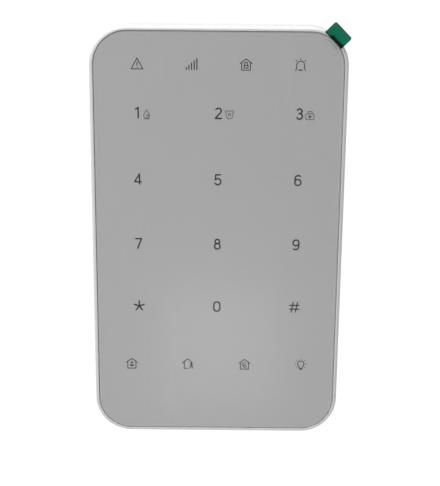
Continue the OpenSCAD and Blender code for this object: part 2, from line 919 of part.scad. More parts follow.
module hint_legend() {
    color("gray") upright() between(panel_front, panel_front + print_t) {
        translate(hint_places[0]) fire_hint();
        translate(hint_places[1]) guard_hint();
        translate(hint_places[2]) aid_hint();
    }
}

module diffuser_sheet() {
    color("white") upright() between(shelf_front, panel_back)
        rounded(opening_w - 2 * touch_gap, opening_h - 2 * touch_gap, opening_r - touch_gap);
}

module touch_board() {
    color("darkgreen") upright() difference() {
        between(touch_back, shelf_front)
            rounded(opening_w - 2 * touch_gap, opening_h - 2 * touch_gap, opening_r - touch_gap);
        light_places() between(touch_back - cut, shelf_front + cut) circle(light_hole_r);
    }
}

module backlight_leds() {
    color("lightyellow") upright() light_places() {
        between(touch_back - led_size.z, touch_back) square([led_size.x, led_size.y], center = true);
        between(touch_back - led_size.z / 2, touch_back + led_lens[1]) circle(led_lens[0]);
    }
}

// ---------------------------------------------------------------- main board

module main_board() {
    color("green") upright() difference() {
        translate([0, board_mid, 0]) between(board_back, board_front)
            rounded(board_w, board_top - board_bottom, board_r);
        standoff_places() between(board_back - cut, board_front + cut) circle(board_screw_r + board_screw_gap);
    }
}

module board_screws() {
    color("silver") upright() standoff_places() difference() {
        union() {
            between(board_screw_tip, board_front) circle(board_screw_r);
            between(board_front, board_front + board_head_t) circle(board_head_r);
        }
        between(board_front + board_head_t - small_cross_depth, board_front + board_head_t + cut)
            cross(small_cross_slot);
    }
}

module control_chips() {
    color("black") upright() for (chip = chips)
        at(chip[0]) between(board_front, board_front + chip[1].z) square([chip[1].x, chip[1].y], center = true);
}

module crystal_can() {
    color("silver") upright() at(crystal_at) between(board_front, board_front + crystal_size.z)
        rounded(crystal_size.x, crystal_size.y, can_corner_r);
}

module radio_can() {
    top = board_front + radio_size.z;
    color("silver") upright() at(radio_at) difference() {
        between(board_front, top) rounded(radio_size.x, radio_size.y, can_corner_r);
        for (x = radio_holes[0], y = radio_holes[1])
            translate([x, y, 0]) between(top - radio_hole_depth, top + cut) circle(radio_hole_r);
    }
}

module antenna_strip() {
    color("goldenrod") upright() translate([antenna_at.x, antenna_at.y, board_front]) {
        translate([0, 0, antenna_lift]) cube(antenna_size);
        for (x = antenna_legs) translate([x, 0, 0])
            cube([antenna_leg.x, antenna_leg.y, antenna_lift + antenna_size.z / 2]);
    }
}

module capacitor(r, t) {
    between(board_front, board_front + capacitor_base[1]) square(2 * r + capacitor_base[0], center = true);
    between(board_front + capacitor_base[1] / 2, board_front + t) circle(r);
}

module capacitors() {
    color("lightsteelblue") upright() for (can = capacitor_cans) at(can[0]) capacitor(can[1], can[2]);
}

module buzzer() {
    color("black") upright() at(buzzer_at) difference() {
        between(board_front, board_front + buzzer_h) circle(buzzer_r);
        between(board_front + buzzer_h - buzzer_port_depth, board_front + buzzer_h + cut) circle(buzzer_port_r);
    }
}

module ribbon_connectors() {
    side = ribbon_w / 2 + connector_side;
    color("ivory") upright() for (back = [board_front, touch_back - connector_t])
        between(back, back + connector_t) strip(-side, side, connector_end - connector_len, connector_end);
}

module ribbon_cable() {
    bend_r = (ribbon_high - ribbon_low) / 2;
    middle = (ribbon_high + ribbon_low) / 2;
    color("white") upright() translate([-ribbon_w / 2, 0, 0]) rotate([90, 0, 90]) linear_extrude(ribbon_w) {
        for (d = [ribbon_low, ribbon_high])
            strip(connector_end, ribbon_bend_y, d - ribbon_t / 2, d + ribbon_t / 2);
        intersection() {
            ring([ribbon_bend_y, middle], bend_r, ribbon_t);
            strip(ribbon_bend_y, ribbon_bend_y + 2 * bend_r, middle - 2 * bend_r, middle + 2 * bend_r);
        }
    }
}

// ---------------------------------------------------------------- battery bay

// Cells point up and down in turn, so that they join in series
function points_up(i) = i % 2 == 0;

module cell_places() {
    for (i = [0 : cell_count - 1]) translate([cell_x(i), bay_y, cell_d])
        rotate([points_up(i) ? -90 : 90, 0, 0]) translate([0, 0, can_low - bay_y]) children();
}

module cell_cans() {
    color("silver") upright() cell_places() {
        cylinder(cell_len, cell_r - sleeve_t, cell_r - sleeve_t);
        cylinder(cell_len + nub_len, nub_r, nub_r);
    }
}

module cell_sleeves() {
    color("slategray") upright() cell_places() difference() {
        translate([0, 0, sleeve_inset]) cylinder(cell_len - 2 * sleeve_inset, cell_r, cell_r);
        cylinder(cell_len, cell_r - sleeve_t, cell_r - sleeve_t);
    }
}

module contact_plate(first, last, y) {
    translate([cell_x(first) - plate_w / 2, y, cell_d - plate_w / 2])
        cube([cell_x(last) - cell_x(first) + plate_w, plate_t, plate_w]);
}

module contact_plates() {
    color("gainsboro") upright() {
        for (pair = [[0, 0], [1, 2], [3, 3]]) contact_plate(pair[0], pair[1], bay_top - plate_t);
        for (pair = [[0, 1], [2, 3]]) contact_plate(pair[0], pair[1], bay_bottom);
        for (x = [cell_x(0), cell_x(cell_count - 1)])
            translate([x - tail_w / 2, bay_top - plate_t, board_front])
                cube([tail_w, tail_end - bay_top + plate_t, plate_t]);
    }
}

module negative_springs() {
    low = bay_bottom + plate_t - bay_y;
    height = can_low - bay_y - low - 2 * spring_wire_r;
    color("silver") upright() for (i = [0 : cell_count - 1]) translate([cell_x(i), bay_y, cell_d])
        rotate([points_up(i) ? -90 : 90, 0, 0]) translate([0, 0, low + spring_wire_r])
            coil(spring_r[0], spring_r[1], height, spring_turns, spring_wire_r);
}

// ---------------------------------------------------------------- switches

module tamper_switch() {
    color("dimgray") upright() at(tamper_at) difference() {
        between(tamper_back, board_back) square(tamper_size, center = true);
        between(tamper_back - cut, tamper_roof) circle(plunger_r + run_gap);
        between(tamper_back + tamper_lip, tamper_roof) circle(tamper_cavity_r);
    }
}

module tamper_plunger() {
    color("ivory") upright() at(tamper_at) {
        translate([0, 0, plunger_dome]) sphere(plunger_r);
        between(plunger_dome, collar_back + collar_t) circle(plunger_r);
        between(collar_back, collar_back + collar_t) circle(collar_r);
    }
}

module tamper_spring() {
    low = collar_back + collar_t + tamper_wire_r;
    color("silver") upright() at(tamper_at) translate([0, 0, low])
        coil(tamper_coil_r, tamper_coil_r, tamper_roof - tamper_wire_r - low, tamper_turns, tamper_wire_r, sides = 6);
}

module pair_switch() {
    color("black") upright() at(pair_at) difference() {
        between(pair_back, board_back) square(pair_size, center = true);
        between(pair_back - cut, pair_cavity_front) circle(pair_cap_r + run_gap);
    }
}

module pair_button() {
    color("orange") upright() at(pair_at) {
        between(pair_cap_back + pair_cap_edge, pair_cap_front) circle(pair_cap_r);
        between(pair_cap_back, pair_cap_back + pair_cap_edge) circle(pair_cap_r - pair_cap_edge);
    }
}

// ---------------------------------------------------------------- transit film

// Turns x along the upper right corner's diagonal, away from the middle of the panel
module on_corner_diagonal() { translate([arc_x, arc_y, 0]) rotate(45) children(); }

module protective_film() {
    color("lightcyan") upright() {
        between(film_back, case_d) inset_outline(film_inset);
        on_corner_diagonal() {
            between(case_d, case_d + film_ear_t)
                strip(film_ear_in, film_ear_out, tab_shift - film_ear_w / 2, tab_shift + film_ear_w / 2);
            between(film_back, case_d + film_ear_t)
                strip(film_ear_in, film_ear_in + film_root, tab_shift - film_ear_w / 2, tab_shift + film_ear_w / 2);
        }
    }
}

module pull_tab() {
    outer = tab_len / 2 - tab_corner_r;
    color("seagreen") upright() on_corner_diagonal() translate([tab_reach, tab_shift, 0])
        between(case_d + film_ear_t, case_d + film_ear_t + tab_t) {
            strip(-tab_len / 2, outer, -tab_w / 2, tab_w / 2);
            strip(-tab_len / 2, tab_len / 2, -tab_w / 2 + tab_corner_r, tab_w / 2 - tab_corner_r);
            for (s = side_signs) translate([outer, s * (tab_w / 2 - tab_corner_r)]) circle(tab_corner_r);
        }
}

wall_bracket();
lock_screw();
lock_washer();
rear_cover();
lock_insert();
rear_label();
case_screws();
front_frame();
panel_adhesive();
front_panel();
key_legend();
hint_legend();
diffuser_sheet();
touch_board();
backlight_leds();
main_board();
board_screws();
control_chips();
crystal_can();
radio_can();
antenna_strip();
capacitors();
buzzer();
ribbon_cable();
ribbon_connectors();
contact_plates();
negative_springs();
cell_cans();
cell_sleeves();
tamper_switch();
tamper_plunger();
tamper_spring();
pair_switch();
pair_button();
protective_film();
pull_tab();
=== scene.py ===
"""Looks for a wall keypad: its finishes, its lathe-turned and sheet pieces, light and camera.

Lengths are in metres in the frame's own axes: x to the right, y towards the wall and
z up. The wall is the plane y = 0, and the touch panel faces -y.
"""

import json
import logging
import math
from dataclasses import dataclass
from enum import Enum
from itertools import pairwise

import bmesh
import bpy
from mathutils import Matrix, Vector

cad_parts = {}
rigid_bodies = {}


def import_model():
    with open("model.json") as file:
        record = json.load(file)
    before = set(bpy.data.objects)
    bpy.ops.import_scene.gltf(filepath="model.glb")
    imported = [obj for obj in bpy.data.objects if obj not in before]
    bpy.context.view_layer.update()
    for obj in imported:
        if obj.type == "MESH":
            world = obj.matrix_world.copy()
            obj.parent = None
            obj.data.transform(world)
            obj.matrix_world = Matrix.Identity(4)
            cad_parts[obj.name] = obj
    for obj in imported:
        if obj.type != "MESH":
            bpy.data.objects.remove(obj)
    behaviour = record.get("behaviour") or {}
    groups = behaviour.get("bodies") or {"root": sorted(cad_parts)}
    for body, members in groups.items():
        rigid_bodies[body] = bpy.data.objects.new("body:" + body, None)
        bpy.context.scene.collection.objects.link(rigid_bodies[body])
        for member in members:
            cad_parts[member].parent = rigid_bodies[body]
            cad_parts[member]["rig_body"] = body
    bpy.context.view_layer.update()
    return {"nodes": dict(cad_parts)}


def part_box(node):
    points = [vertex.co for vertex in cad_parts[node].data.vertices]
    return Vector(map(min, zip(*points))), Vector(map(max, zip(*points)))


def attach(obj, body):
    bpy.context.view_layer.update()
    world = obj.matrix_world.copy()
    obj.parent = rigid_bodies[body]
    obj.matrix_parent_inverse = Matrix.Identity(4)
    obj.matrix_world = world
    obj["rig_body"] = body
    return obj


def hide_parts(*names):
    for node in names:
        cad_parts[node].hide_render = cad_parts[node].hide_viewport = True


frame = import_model()

MM = 1e-3
log = logging.getLogger("keypad")

Colour = tuple[float, float, float, float]
Profile = list[tuple[float, float]]


def paint(red: int, green: int, blue: int) -> Colour:
    """Turns a display colour into the linear one that shaders take.

    Args:
        red: Red as shown on a display, 0 to 255.
        green: Green as shown on a display, 0 to 255.
        blue: Blue as shown on a display, 0 to 255.

    Returns:
        The linear colour with full alpha.
    """
    linear = []
    for level in (red / 255, green / 255, blue / 255):
        linear.append(level / 12.92 if level <= 0.04045 else ((level + 0.055) / 1.055) ** 2.4)
    return (*linear, 1.0)


class Slot(Enum):
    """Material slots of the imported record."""

    CASE = "white_case"
    BRACKET = "bracket_plastic"
    FILM = "film"
    TAPE = "green_tape"
    BOARD = "circuit_board"
    LED = "led"
    CHIP = "chip"
    TIN = "tin_can"
    STEEL = "steel"
    GOLD = "gold_strip"
    BRASS = "brass"
    CAPACITOR = "capacitor"
    BLACK = "black_plastic"
    IVORY = "ivory_plastic"
    CELL = "cell_steel"
    SLEEVE = "cell_sleeve"
    BUTTON = "button_plastic"


class Axis(Enum):
    """Directions that a grain or a row of lines runs in."""

    ACROSS = (1.0, 0.0, 0.0)
    UP = (0.0, 0.0, 1.0)


# ---------------------------------------------------------------- shader maths


class Wire:
    """A shader socket that takes part in sums like a number."""

    def __init__(self, graph: "Graph", socket: bpy.types.NodeSocket) -> None:
        """Keeps the socket and the graph that new nodes are added to."""
        self.graph = graph
        self.socket = socket

    def _math(self, operation: str, *values: "Wire | float") -> "Wire":
        """Adds one Math node.

        Args:
            operation: Name of the Math node's operation.
            values: Its inputs in order.

        Returns:
            The node's result.
        """
        return self.graph.wire("ShaderNodeMath", {"operation": operation}, dict(enumerate(values)))

    def __add__(self, other: "Wire | float") -> "Wire":
        """Adds a wire or a number."""
        return self._math("ADD", self, other)

    def __radd__(self, other: float) -> "Wire":
        """Adds this wire to a number."""
        return self._math("ADD", other, self)

    def __sub__(self, other: "Wire | float") -> "Wire":
        """Subtracts a wire or a number."""
        return self._math("SUBTRACT", self, other)

    def __rsub__(self, other: float) -> "Wire":
        """Subtracts this wire from a number."""
        return self._math("SUBTRACT", other, self)

    def __mul__(self, other: "Wire | float") -> "Wire":
        """Multiplies by a wire or a number."""
        return self._math("MULTIPLY", self, other)

    def __rmul__(self, other: float) -> "Wire":
        """Multiplies a number by this wire."""
        return self._math("MULTIPLY", other, self)

    def __truediv__(self, other: "Wire | float") -> "Wire":
        """Divides by a wire or a number."""
        return self._math("DIVIDE", self, other)

    def __abs__(self) -> "Wire":
        """Drops the sign."""
        return self._math("ABSOLUTE", self)

    def cycle(self) -> "Wire":
        """Keeps the fraction, so that a ramp repeats from 0 to 1."""
        return self._math("FRACT", self)

    def highest(self, other: "Wire | float") -> "Wire":
        """Takes the larger of two values."""
        return self._math("MAXIMUM", self, other)

    def above(self, edge: "Wire | float", soft: float) -> "Wire":
        """Makes a mask that rises smoothly where this value passes an edge.

        Args:
            edge: Value at the middle of the rise.
            soft: Width of the rise.

        Returns:
            A mask from 0 below the edge to 1 above it.
        """
        low = edge - soft / 2
        high = edge + soft / 2
        return self.graph.wire(
            "ShaderNodeMapRange",
            {"interpolation_type": "SMOOTHSTEP"},
            {"Value": self, "From Min": low, "From Max": high},
        )

    def below(self, edge: "Wire | float", soft: float) -> "Wire":
        """Makes a mask that falls from 1 to 0 where this value passes an edge."""
        return 1 - self.above(edge, soft)


class Graph:
    """The node graph of a material or of the room's light."""

    def __init__(self, tree: bpy.types.NodeTree, coordinates: str = "Object") -> None:
        """Empties the tree and starts it with the coordinates that its patterns follow.

        Args:
            tree: The node tree to fill.
            coordinates: Output of the Texture Coordinate node that gives the place.
        """
        self.tree = tree
        self.tree.nodes.clear()
        self.place = self.wire("ShaderNodeTexCoord", output=coordinates)

    def node(
        self,
        kind: str,
        settings: dict | None = None,
        inputs: dict | None = None,
    ) -> bpy.types.Node:
        """Adds a node, sets it up and feeds it.

        Args:
            kind: Type of the node.
            settings: The node's own settings.
            inputs: Numbers, colours or wires for its sockets, by name or index.

        Returns:
            The node.
        """
        made = self.tree.nodes.new(kind)
        for key, value in (settings or {}).items():
            setattr(made, key, value)
        for key, value in (inputs or {}).items():
            if isinstance(value, Wire):
                self.tree.links.new(value.socket, made.inputs[key])
            else:
                made.inputs[key].default_value = value
        return made

    def wire(
        self,
        kind: str,
        settings: dict | None = None,
        inputs: dict | None = None,
        output: int | str = 0,
    ) -> Wire:
        """Adds a node as node() does and gives one of its outputs."""
        return Wire(self, self.node(kind, settings, inputs).outputs[output])

    def axes(self, vector: Wire | None = None) -> tuple[Wire, Wire, Wire]:
        """Splits a vector, or the place on the piece, into x, y and z."""
        split = self.node("ShaderNodeSeparateXYZ", inputs={0: vector or self.place})
        return tuple(Wire(self, socket) for socket in split.outputs)

    def stretched(self, size: tuple[float, float, float]) -> Wire:
        """Scales the place on the piece, so that a pattern is drawn out along an axis."""
        return self.wire("ShaderNodeMapping", inputs={"Vector": self.place, "Scale": size})

    def noise(self, size: float, detail: float = 2.0, where: Wire | None = None) -> Wire:
        """Makes smooth noise.

        Args:
            size: Size of its features in metres.
            detail: Number of finer octaves.
            where: Coordinates that it follows, the piece's own if None.

        Returns:
            Values round 0.5.
        """
        inputs = {"Vector": where or self.place, "Scale": 1 / size, "Detail": detail}
        return self.wire("ShaderNodeTexNoise", inputs=inputs)

    def cells(self, size: float, where: Wire | None = None) -> Wire:
        """Makes the distance to the nearest of scattered points, in cell sizes."""
        inputs = {"Vector": where or self.place, "Scale": 1 / size}
        return self.wire("ShaderNodeTexVoronoi", inputs=inputs)

    def mix(self, share: Wire | float, first: Wire | Colour, second: Wire | Colour) -> Wire:
        """Mixes two colours, by a share of the second."""
        inputs = {0: share, 6: first, 7: second}
        return self.wire("ShaderNodeMix", {"data_type": "RGBA", "clamp_factor": True}, inputs, 2)

    def bump(self, height: Wire, depth: float) -> Wire:
        """Turns a height from 0 to 1 into a relief of a depth in metres."""
        return self.wire("ShaderNodeBump", inputs={"Height": height, "Distance": depth})

    def surface(self, sockets: dict) -> None:
        """Ends the graph in one Principled shader with these sockets."""
        shader = self.wire("ShaderNodeBsdfPrincipled", inputs=sockets)
        self.node("ShaderNodeOutputMaterial", inputs={"Surface": shader})

    def room(self, colour: Wire) -> None:
        """Ends the graph in the light that comes from all round."""
        light = self.wire("ShaderNodeBackground", inputs={"Color": colour, "Strength": 1.0})
        self.node("ShaderNodeOutputWorld", inputs={"Surface": light})


# ---------------------------------------------------------------- finishes


@dataclass(frozen=True)
class Finish:
    """A named finish, which draws its material the first time that it is used."""

    name: str

    def draw(self, graph: Graph) -> None:
        """Draws the material's nodes; each finish has its own way."""
        raise NotImplementedError

    def material(self) -> bpy.types.Material:
        """Gives the finish's material, drawn once and then shared.

        Returns:
            The material.
        """
        known = bpy.data.materials.get(self.name)
        if known:
            return known
        made = bpy.data.materials.new(self.name)
        made.use_nodes = True
        self.draw(Graph(made.node_tree))
        return made


@dataclass(frozen=True)
class Moulded(Finish):
    """Moulded plastic with a spark-eroded grain and faint flow marks."""

    colour: Colour
    shade: Colour
    roughness: float = 0.42
    grain: float = 0.28 * MM
    relief: float = 0.006 * MM
    coat: float = 0.0

    def draw(self, graph: Graph) -> None:
        """Draws mottled colour, uneven gloss and a fine grain.

        Args:
            graph: Graph of the material.
        """
        cloud = graph.noise(30 * MM, 3)
        grain = graph.noise(self.grain, 2)
        flow = graph.noise(9 * MM, 3, graph.stretched((1.0, 1.0, 0.2)))
        rubbed = graph.noise(4 * MM, 4).above(0.62, 0.1)
        tone = 0.55 * cloud.above(0.5, 0.5) + 0.25 * flow + 0.2 * grain
        graph.surface({
            "Base Color": graph.mix(tone, self.colour, self.shade),
            "Roughness": self.roughness + 0.1 * (grain - 0.5) + 0.06 * (flow - 0.5) - 0.05 * rubbed,
            "Coat Weight": self.coat,
            "Coat Roughness": 0.2,
            "Normal": graph.bump(grain + 0.3 * flow, self.relief),
        })


@dataclass(frozen=True)
class TouchFace(Finish):
    """Back-printed grey of the touch panel under a hard clear face."""

    colour: Colour
    shade: Colour

    def draw(self, graph: Graph) -> None:
        """Draws slightly uneven ink under a gloss coat with faint orange peel.

        Args:
            graph: Graph of the material.
        """
        cloud = graph.noise(26 * MM, 2)
        patch = graph.noise(7 * MM, 3)
        speck = graph.noise(0.2 * MM, 1)
        tone = 0.6 * cloud + 0.25 * patch + 0.15 * speck
        graph.surface({
            "Base Color": graph.mix(tone, self.colour, self.shade),
            "Roughness": 0.5 + 0.08 * (patch - 0.5),
            "Coat Weight": 0.8 + 0.2 * cloud,
            "Coat Roughness": 0.3,
            "Normal": graph.bump(patch, 0.003 * MM),
        })


@dataclass(frozen=True)
class Ink(Finish):
    """Screen-printed ink, thinner and paler in the rows of small signs."""

    colour: Colour
    thin: Colour
    rows: tuple[float, float]

    def draw(self, graph: Graph) -> None:
        """Draws solid figures, paler signs outside the key rows, and a mesh-printed edge.

        Args:
            graph: Graph of the material.
        """
        _, _, height = graph.axes()
        signs = height.above(self.rows[1], MM).highest(height.below(self.rows[0], MM))
        mesh = graph.noise(0.12 * MM, 1)
        ink = graph.mix(signs, self.colour, self.thin)
        graph.surface({
            "Base Color": graph.mix(0.1 * mesh, ink, self.thin),
            "Roughness": 0.5 + 0.15 * mesh,
            "Specular IOR Level": 0.2,
            "Normal": graph.bump(mesh, 0.002 * MM),
        })


@dataclass(frozen=True)
class ClearFilm(Finish):
    """Clear film that clings to the panel, with trapped air and rub marks."""

    colour: Colour
    tint: Colour
    half: tuple[float, float]
    corner: float
    haze: float = 0.02
    # Width and softness of the painted highlight along the film's trimmed edge.
    cut_width: float = 0.3 * MM
    cut_fade: float = 2 * MM * MM

    def draw(self, graph: Graph) -> None:
        """Draws haze that thickens at air pockets and in streaks, and a painted highlight at the edge.

        Args:
            graph: Graph of the material.
        """
        x, _, z = graph.axes()
        past_x = (abs(x) - (self.half[0] - self.corner)).highest(0)
        past_z = (abs(z) - (self.half[1] - self.corner)).highest(0)
        out = past_x * past_x + past_z * past_z
        # Painted highlight: a whiter line along the film's trimmed edge.
        painted_edge_highlight = out.above((self.corner - self.cut_width) ** 2, self.cut_fade)
        pocket = graph.cells(13 * MM, graph.stretched((1.0, 1.0, 0.55))).below(0.03, 0.03)
        cloud = graph.noise(22 * MM, 2)
        streak = graph.noise(5 * MM, 3, graph.stretched((1.0, 1.0, 0.12))).above(0.66, 0.1)
        wave = graph.noise(12 * MM, 2, graph.stretched((1.0, 1.0, 0.3)))
        veil = self.haze + 0.03 * cloud + 0.1 * pocket + 0.03 * streak + 0.1 * painted_edge_highlight
        graph.surface({
            "Base Color": graph.mix(cloud, self.colour, self.tint),
            "Roughness": 0.16 + 0.1 * streak + 0.2 * pocket,
            "Alpha": veil,
            "Coat Weight": 1.0,
            "Coat Roughness": 0.08,
            "IOR": 1.5,
            "Normal": graph.bump(wave + 0.3 * pocket, 0.03 * MM),
        })


@dataclass(frozen=True)
class PullTape(Finish):
    """Green tape folded on itself: hazy where plies part, painted shade at its root and along its bend.
    """

    colour: Colour
    haze: Colour
    # Near-black colour of the painted shade along the root.
    root: Colour
    # Greyish colour of the tape's outer bend, darkened as painted shade.
    fold_shade: Colour
    centre: tuple[float, float]
    length: float
    width: float
    root_width: float = 0.5 * MM
    root_step: float = 0.9 * MM
    fold_width: float = 0.4 * MM

    def draw(self, graph: Graph) -> None:
        """Draws bands along the tape's own length and width, which lie at 45 degrees.

        Args:
            graph: Graph of the material.
        """
        x, _, z = graph.axes()
        turn = math.sqrt(0.5)
        out = (x - self.centre[0]) * turn + (z - self.centre[1]) * turn + self.length / 2
        across = (z - self.centre[1]) * turn - (x - self.centre[0]) * turn
        ragged = graph.noise(1.1 * MM, 3)
        fine = graph.noise(0.25 * MM, 2)
        reach = self.root_width + across.below(0.2 * self.width, 0.5 * MM) * self.root_step
        # Painted shade: a near-black band along the tape's root, ragged at its edge.
        root_shade_mask = out.below(reach + (ragged - 0.5) * (1.1 * MM), 0.18 * MM)
        milky = out.above(0.62 * self.length, 0.7 * self.length) * (0.55 + 0.5 * ragged)
        # Painted shade: a greyer, darker line along the outer bend, over the tape's greyish edge.
        edge = out.above(self.length - self.fold_width, 0.2 * MM)
        tone = graph.mix(milky, self.colour, self.haze)
        tone = graph.mix(0.5 * ragged.above(0.55, 0.2), tone, self.colour)
        tone = graph.mix(root_shade_mask, tone, self.root)
        graph.surface({
            "Base Color": graph.mix(0.75 * edge, tone, self.fold_shade),
            "Roughness": 0.4 + 0.16 * fine + 0.12 * milky,
            "Specular IOR Level": 0.15,
            "Normal": graph.bump(ragged + 0.4 * fine, 0.03 * MM),
        })


@dataclass(frozen=True)
class Metal(Finish):
    """Plated or drawn metal with a grain along one axis and dull handling marks."""

    colour: Colour
    tarnish: Colour
    roughness: float = 0.3
    grain: Axis = Axis.UP
    stretch: float = 0.04

    def draw(self, graph: Graph) -> None:
        """Draws drawn-out scratches, spots of tarnish and uneven polish.

        Args:
            graph: Graph of the material.
        """
        pull = tuple(self.stretch if part else 1.0 for part in self.grain.value)
        scratch = graph.noise(0.15 * MM, 3, graph.stretched(pull))
        blotch = graph.noise(2.2 * MM, 4)
        spots = blotch.above(0.6, 0.2)
        graph.surface({
            "Base Color": graph.mix(0.7 * spots + 0.2 * scratch, self.colour, self.tarnish),
            "Metallic": 1.0,
            "Roughness": self.roughness + 0.2 * (scratch - 0.5) + 0.14 * spots,
            "Normal": graph.bump(scratch, 0.004 * MM),
        })


@dataclass(frozen=True)
class SolderMask(Finish):
    """Circuit board with tracks under solder mask, tinned vias and bare edges."""

    mask: Colour
    track: Colour
    pitch: float = 1.1 * MM

    def draw(self, graph: Graph) -> None:
        """Draws broken parallel tracks in two directions and scattered vias.

        Args:
            graph: Graph of the material.
        """
        x, _, z = graph.axes()
        zone = graph.noise(9 * MM, 1)
        upright = zone.above(0.52, 0.01)
        flat = zone.below(0.46, 0.01)
        lines_x = abs((x / self.pitch).cycle() - 0.5).below(0.16, 0.06)
        lines_z = abs((z / self.pitch).cycle() - 0.5).below(0.16, 0.06)
        tracks = (upright * lines_x).highest(flat * lines_z)
        via = graph.cells(3.4 * MM).below(0.1, 0.03)
        weave = graph.noise(0.3 * MM, 2)
        green = graph.mix(0.25 * weave, self.mask, self.track)
        tone = graph.mix(tracks, green, self.track)
        graph.surface({
            "Base Color": graph.mix(via, tone, paint(205, 200, 185)),
            "Metallic": 0.9 * via,
            "Roughness": 0.34 + 0.1 * weave,
            "Coat Weight": 0.4 * (1 - via),
            "Normal": graph.bump(tracks + via + 0.1 * weave, 0.02 * MM),
        })


@dataclass(frozen=True)
class Banded(Finish):
    """A printed or plated piece with a second colour past an edge along one axis."""

    colour: Colour
    band: Colour
    axis: Axis
    middle: float
    reach: float
    roughness: float = 0.35
    metallic: float = 0.0

    def draw(self, graph: Graph) -> None:
        """Draws the band on both sides of the middle beyond its reach.

        Args:
            graph: Graph of the material.
        """
        along = graph.axes()[self.axis.value.index(1.0)]
        band = abs(along - self.middle).above(self.reach, 0.05 * MM)
        cloud = graph.noise(5 * MM, 3)
        fine = graph.noise(0.3 * MM, 2)
        tone = graph.mix(band, self.colour, self.band)
        worn = graph.mix(0.12 * cloud + 0.08 * fine, tone, paint(200, 200, 198))
        graph.surface({
            "Base Color": worn,
            "Metallic": self.metallic,
            "Roughness": self.roughness + 0.12 * (fine - 0.5),
            "Coat Weight": 0.3,
            "Normal": graph.bump(fine, 0.004 * MM),
        })


@dataclass(frozen=True)
class Ruled(Finish):
    """Paper or flat cable with fine parallel lines along one axis."""

    colour: Colour
    line: Colour
    axis: Axis
    pitch: float
    share: float
    roughness: float = 0.55

    def draw(self, graph: Graph) -> None:
        """Draws evenly spaced lines with slightly soft edges.

        Args:
            graph: Graph of the material.
        """
        along = graph.axes()[self.axis.value.index(1.0)]
        lines = abs((along / self.pitch).cycle() - 0.5).below(self.share / 2, 0.08)
        fibre = graph.noise(0.2 * MM, 3)
        cloud = graph.noise(8 * MM, 2)
        tone = graph.mix(0.8 * lines, self.colour, self.line)
        graph.surface({
            "Base Color": graph.mix(0.15 * fibre + 0.1 * cloud, tone, self.line),
            "Roughness": self.roughness + 0.1 * (fibre - 0.5),
            "Normal": graph.bump(lines + 0.3 * fibre, 0.01 * MM),
        })


@dataclass(frozen=True)
class Foam(Finish):
    """Closed-cell foam or milky sheet whose cells show as pits."""

    colour: Colour
    shade: Colour
    cell: float = 0.35 * MM
    relief: float = 0.05 * MM

    def draw(self, graph: Graph) -> None:
        """Draws pits with darker floors.

        Args:
            graph: Graph of the material.
        """
        pits = graph.cells(self.cell)
        cloud = graph.noise(6 * MM, 2)
        graph.surface({
            "Base Color": graph.mix(0.6 * pits + 0.3 * cloud, self.colour, self.shade),
            "Roughness": 0.75 + 0.15 * cloud,
            "Normal": graph.bump(pits, self.relief),
        })


@dataclass(frozen=True)
class StudioFloor(Finish):
    """Milky acrylic floor of a light table, lit from below."""

    colour: Colour
    shade: Colour
    front_glow: Colour
    back_glow: Colour
    glow_edge: float = 0.1
    glow_fade: float = 0.8

    def draw(self, graph: Graph) -> None:
        """Draws a nearly even matt floor that glows, most of all behind the keypad.

        Args:
            graph: Graph of the material.
        """
        _, y, _ = graph.axes()
        cloud = graph.noise(0.9, 3)
        glow = graph.mix(y.above(self.glow_edge, self.glow_fade), self.front_glow, self.back_glow)
        graph.surface({
            "Base Color": graph.mix(cloud, self.colour, self.shade),
            "Roughness": 0.9,
            "Emission Color": glow,
            "Emission Strength": 1.0,
        })


CASE_WHITE = Moulded("case_plastic", paint(223, 223, 222), paint(215, 215, 214), 0.4)
BRACKET_WHITE = Moulded("bracket_plastic_grain", paint(220, 220, 217), paint(208, 208, 204), 0.5)
IVORY = Moulded("ivory_nylon", paint(222, 214, 190), paint(205, 194, 166), 0.38)
BLACK = Moulded("black_moulding", paint(34, 34, 36), paint(52, 52, 54), 0.45)
ORANGE = Moulded("button_rubber", paint(214, 112, 38), paint(188, 92, 30), 0.5)
EPOXY = Moulded("chip_epoxy", paint(30, 30, 32), paint(58, 58, 60), 0.55, 0.12 * MM)
STEEL = Metal("zinc_plated_steel", paint(196, 198, 200), paint(138, 138, 136), 0.28)
SPRING_STEEL = Metal("nickel_spring_wire", paint(206, 204, 198), paint(150, 146, 138), 0.22)
TIN = Metal("tinned_can", paint(214, 214, 212), paint(160, 160, 158), 0.3, Axis.ACROSS)
CONTACT = Metal("nickel_contact", paint(208, 206, 200), paint(158, 152, 140), 0.26, Axis.ACROSS)
GOLD = Metal("gilt_strip", paint(226, 188, 104), paint(170, 128, 66), 0.3, Axis.ACROSS)
BRASS = Metal("turned_brass", paint(214, 176, 92), paint(150, 112, 52), 0.25)
CELL_END = Metal("cell_steel_end", paint(210, 210, 208), paint(165, 163, 158), 0.24, Axis.ACROSS)
MAIN_MASK = SolderMask("main_board_mask", paint(24, 92, 58), paint(44, 128, 84))
TOUCH_MASK = SolderMask("touch_board_mask", paint(20, 60, 44), paint(36, 92, 66), 2.3 * MM)
TAPE_FOAM = Foam("panel_foam", paint(66, 66, 68), paint(30, 30, 32))
MILKY = Foam("diffuser_sheet_milk", paint(240, 240, 236), paint(222, 222, 216), 0.2 * MM, 0.01 * MM)
LABEL = Ruled("label_paper", paint(226, 226, 222), paint(168, 168, 166), Axis.UP, 5 * MM, 0.06)
FLAT_CABLE = Ruled("flat_cable", paint(224, 224, 218), paint(176, 176, 172), Axis.ACROSS, 1.25 * MM, 0.5)
PANEL_GREY = TouchFace("panel_grey", paint(182, 180, 180), paint(176, 175, 176))
KEY_ROWS = (-45 * MM, 58 * MM)
DARK_INK = Ink("key_ink", paint(8, 8, 10), paint(30, 30, 32), KEY_ROWS)
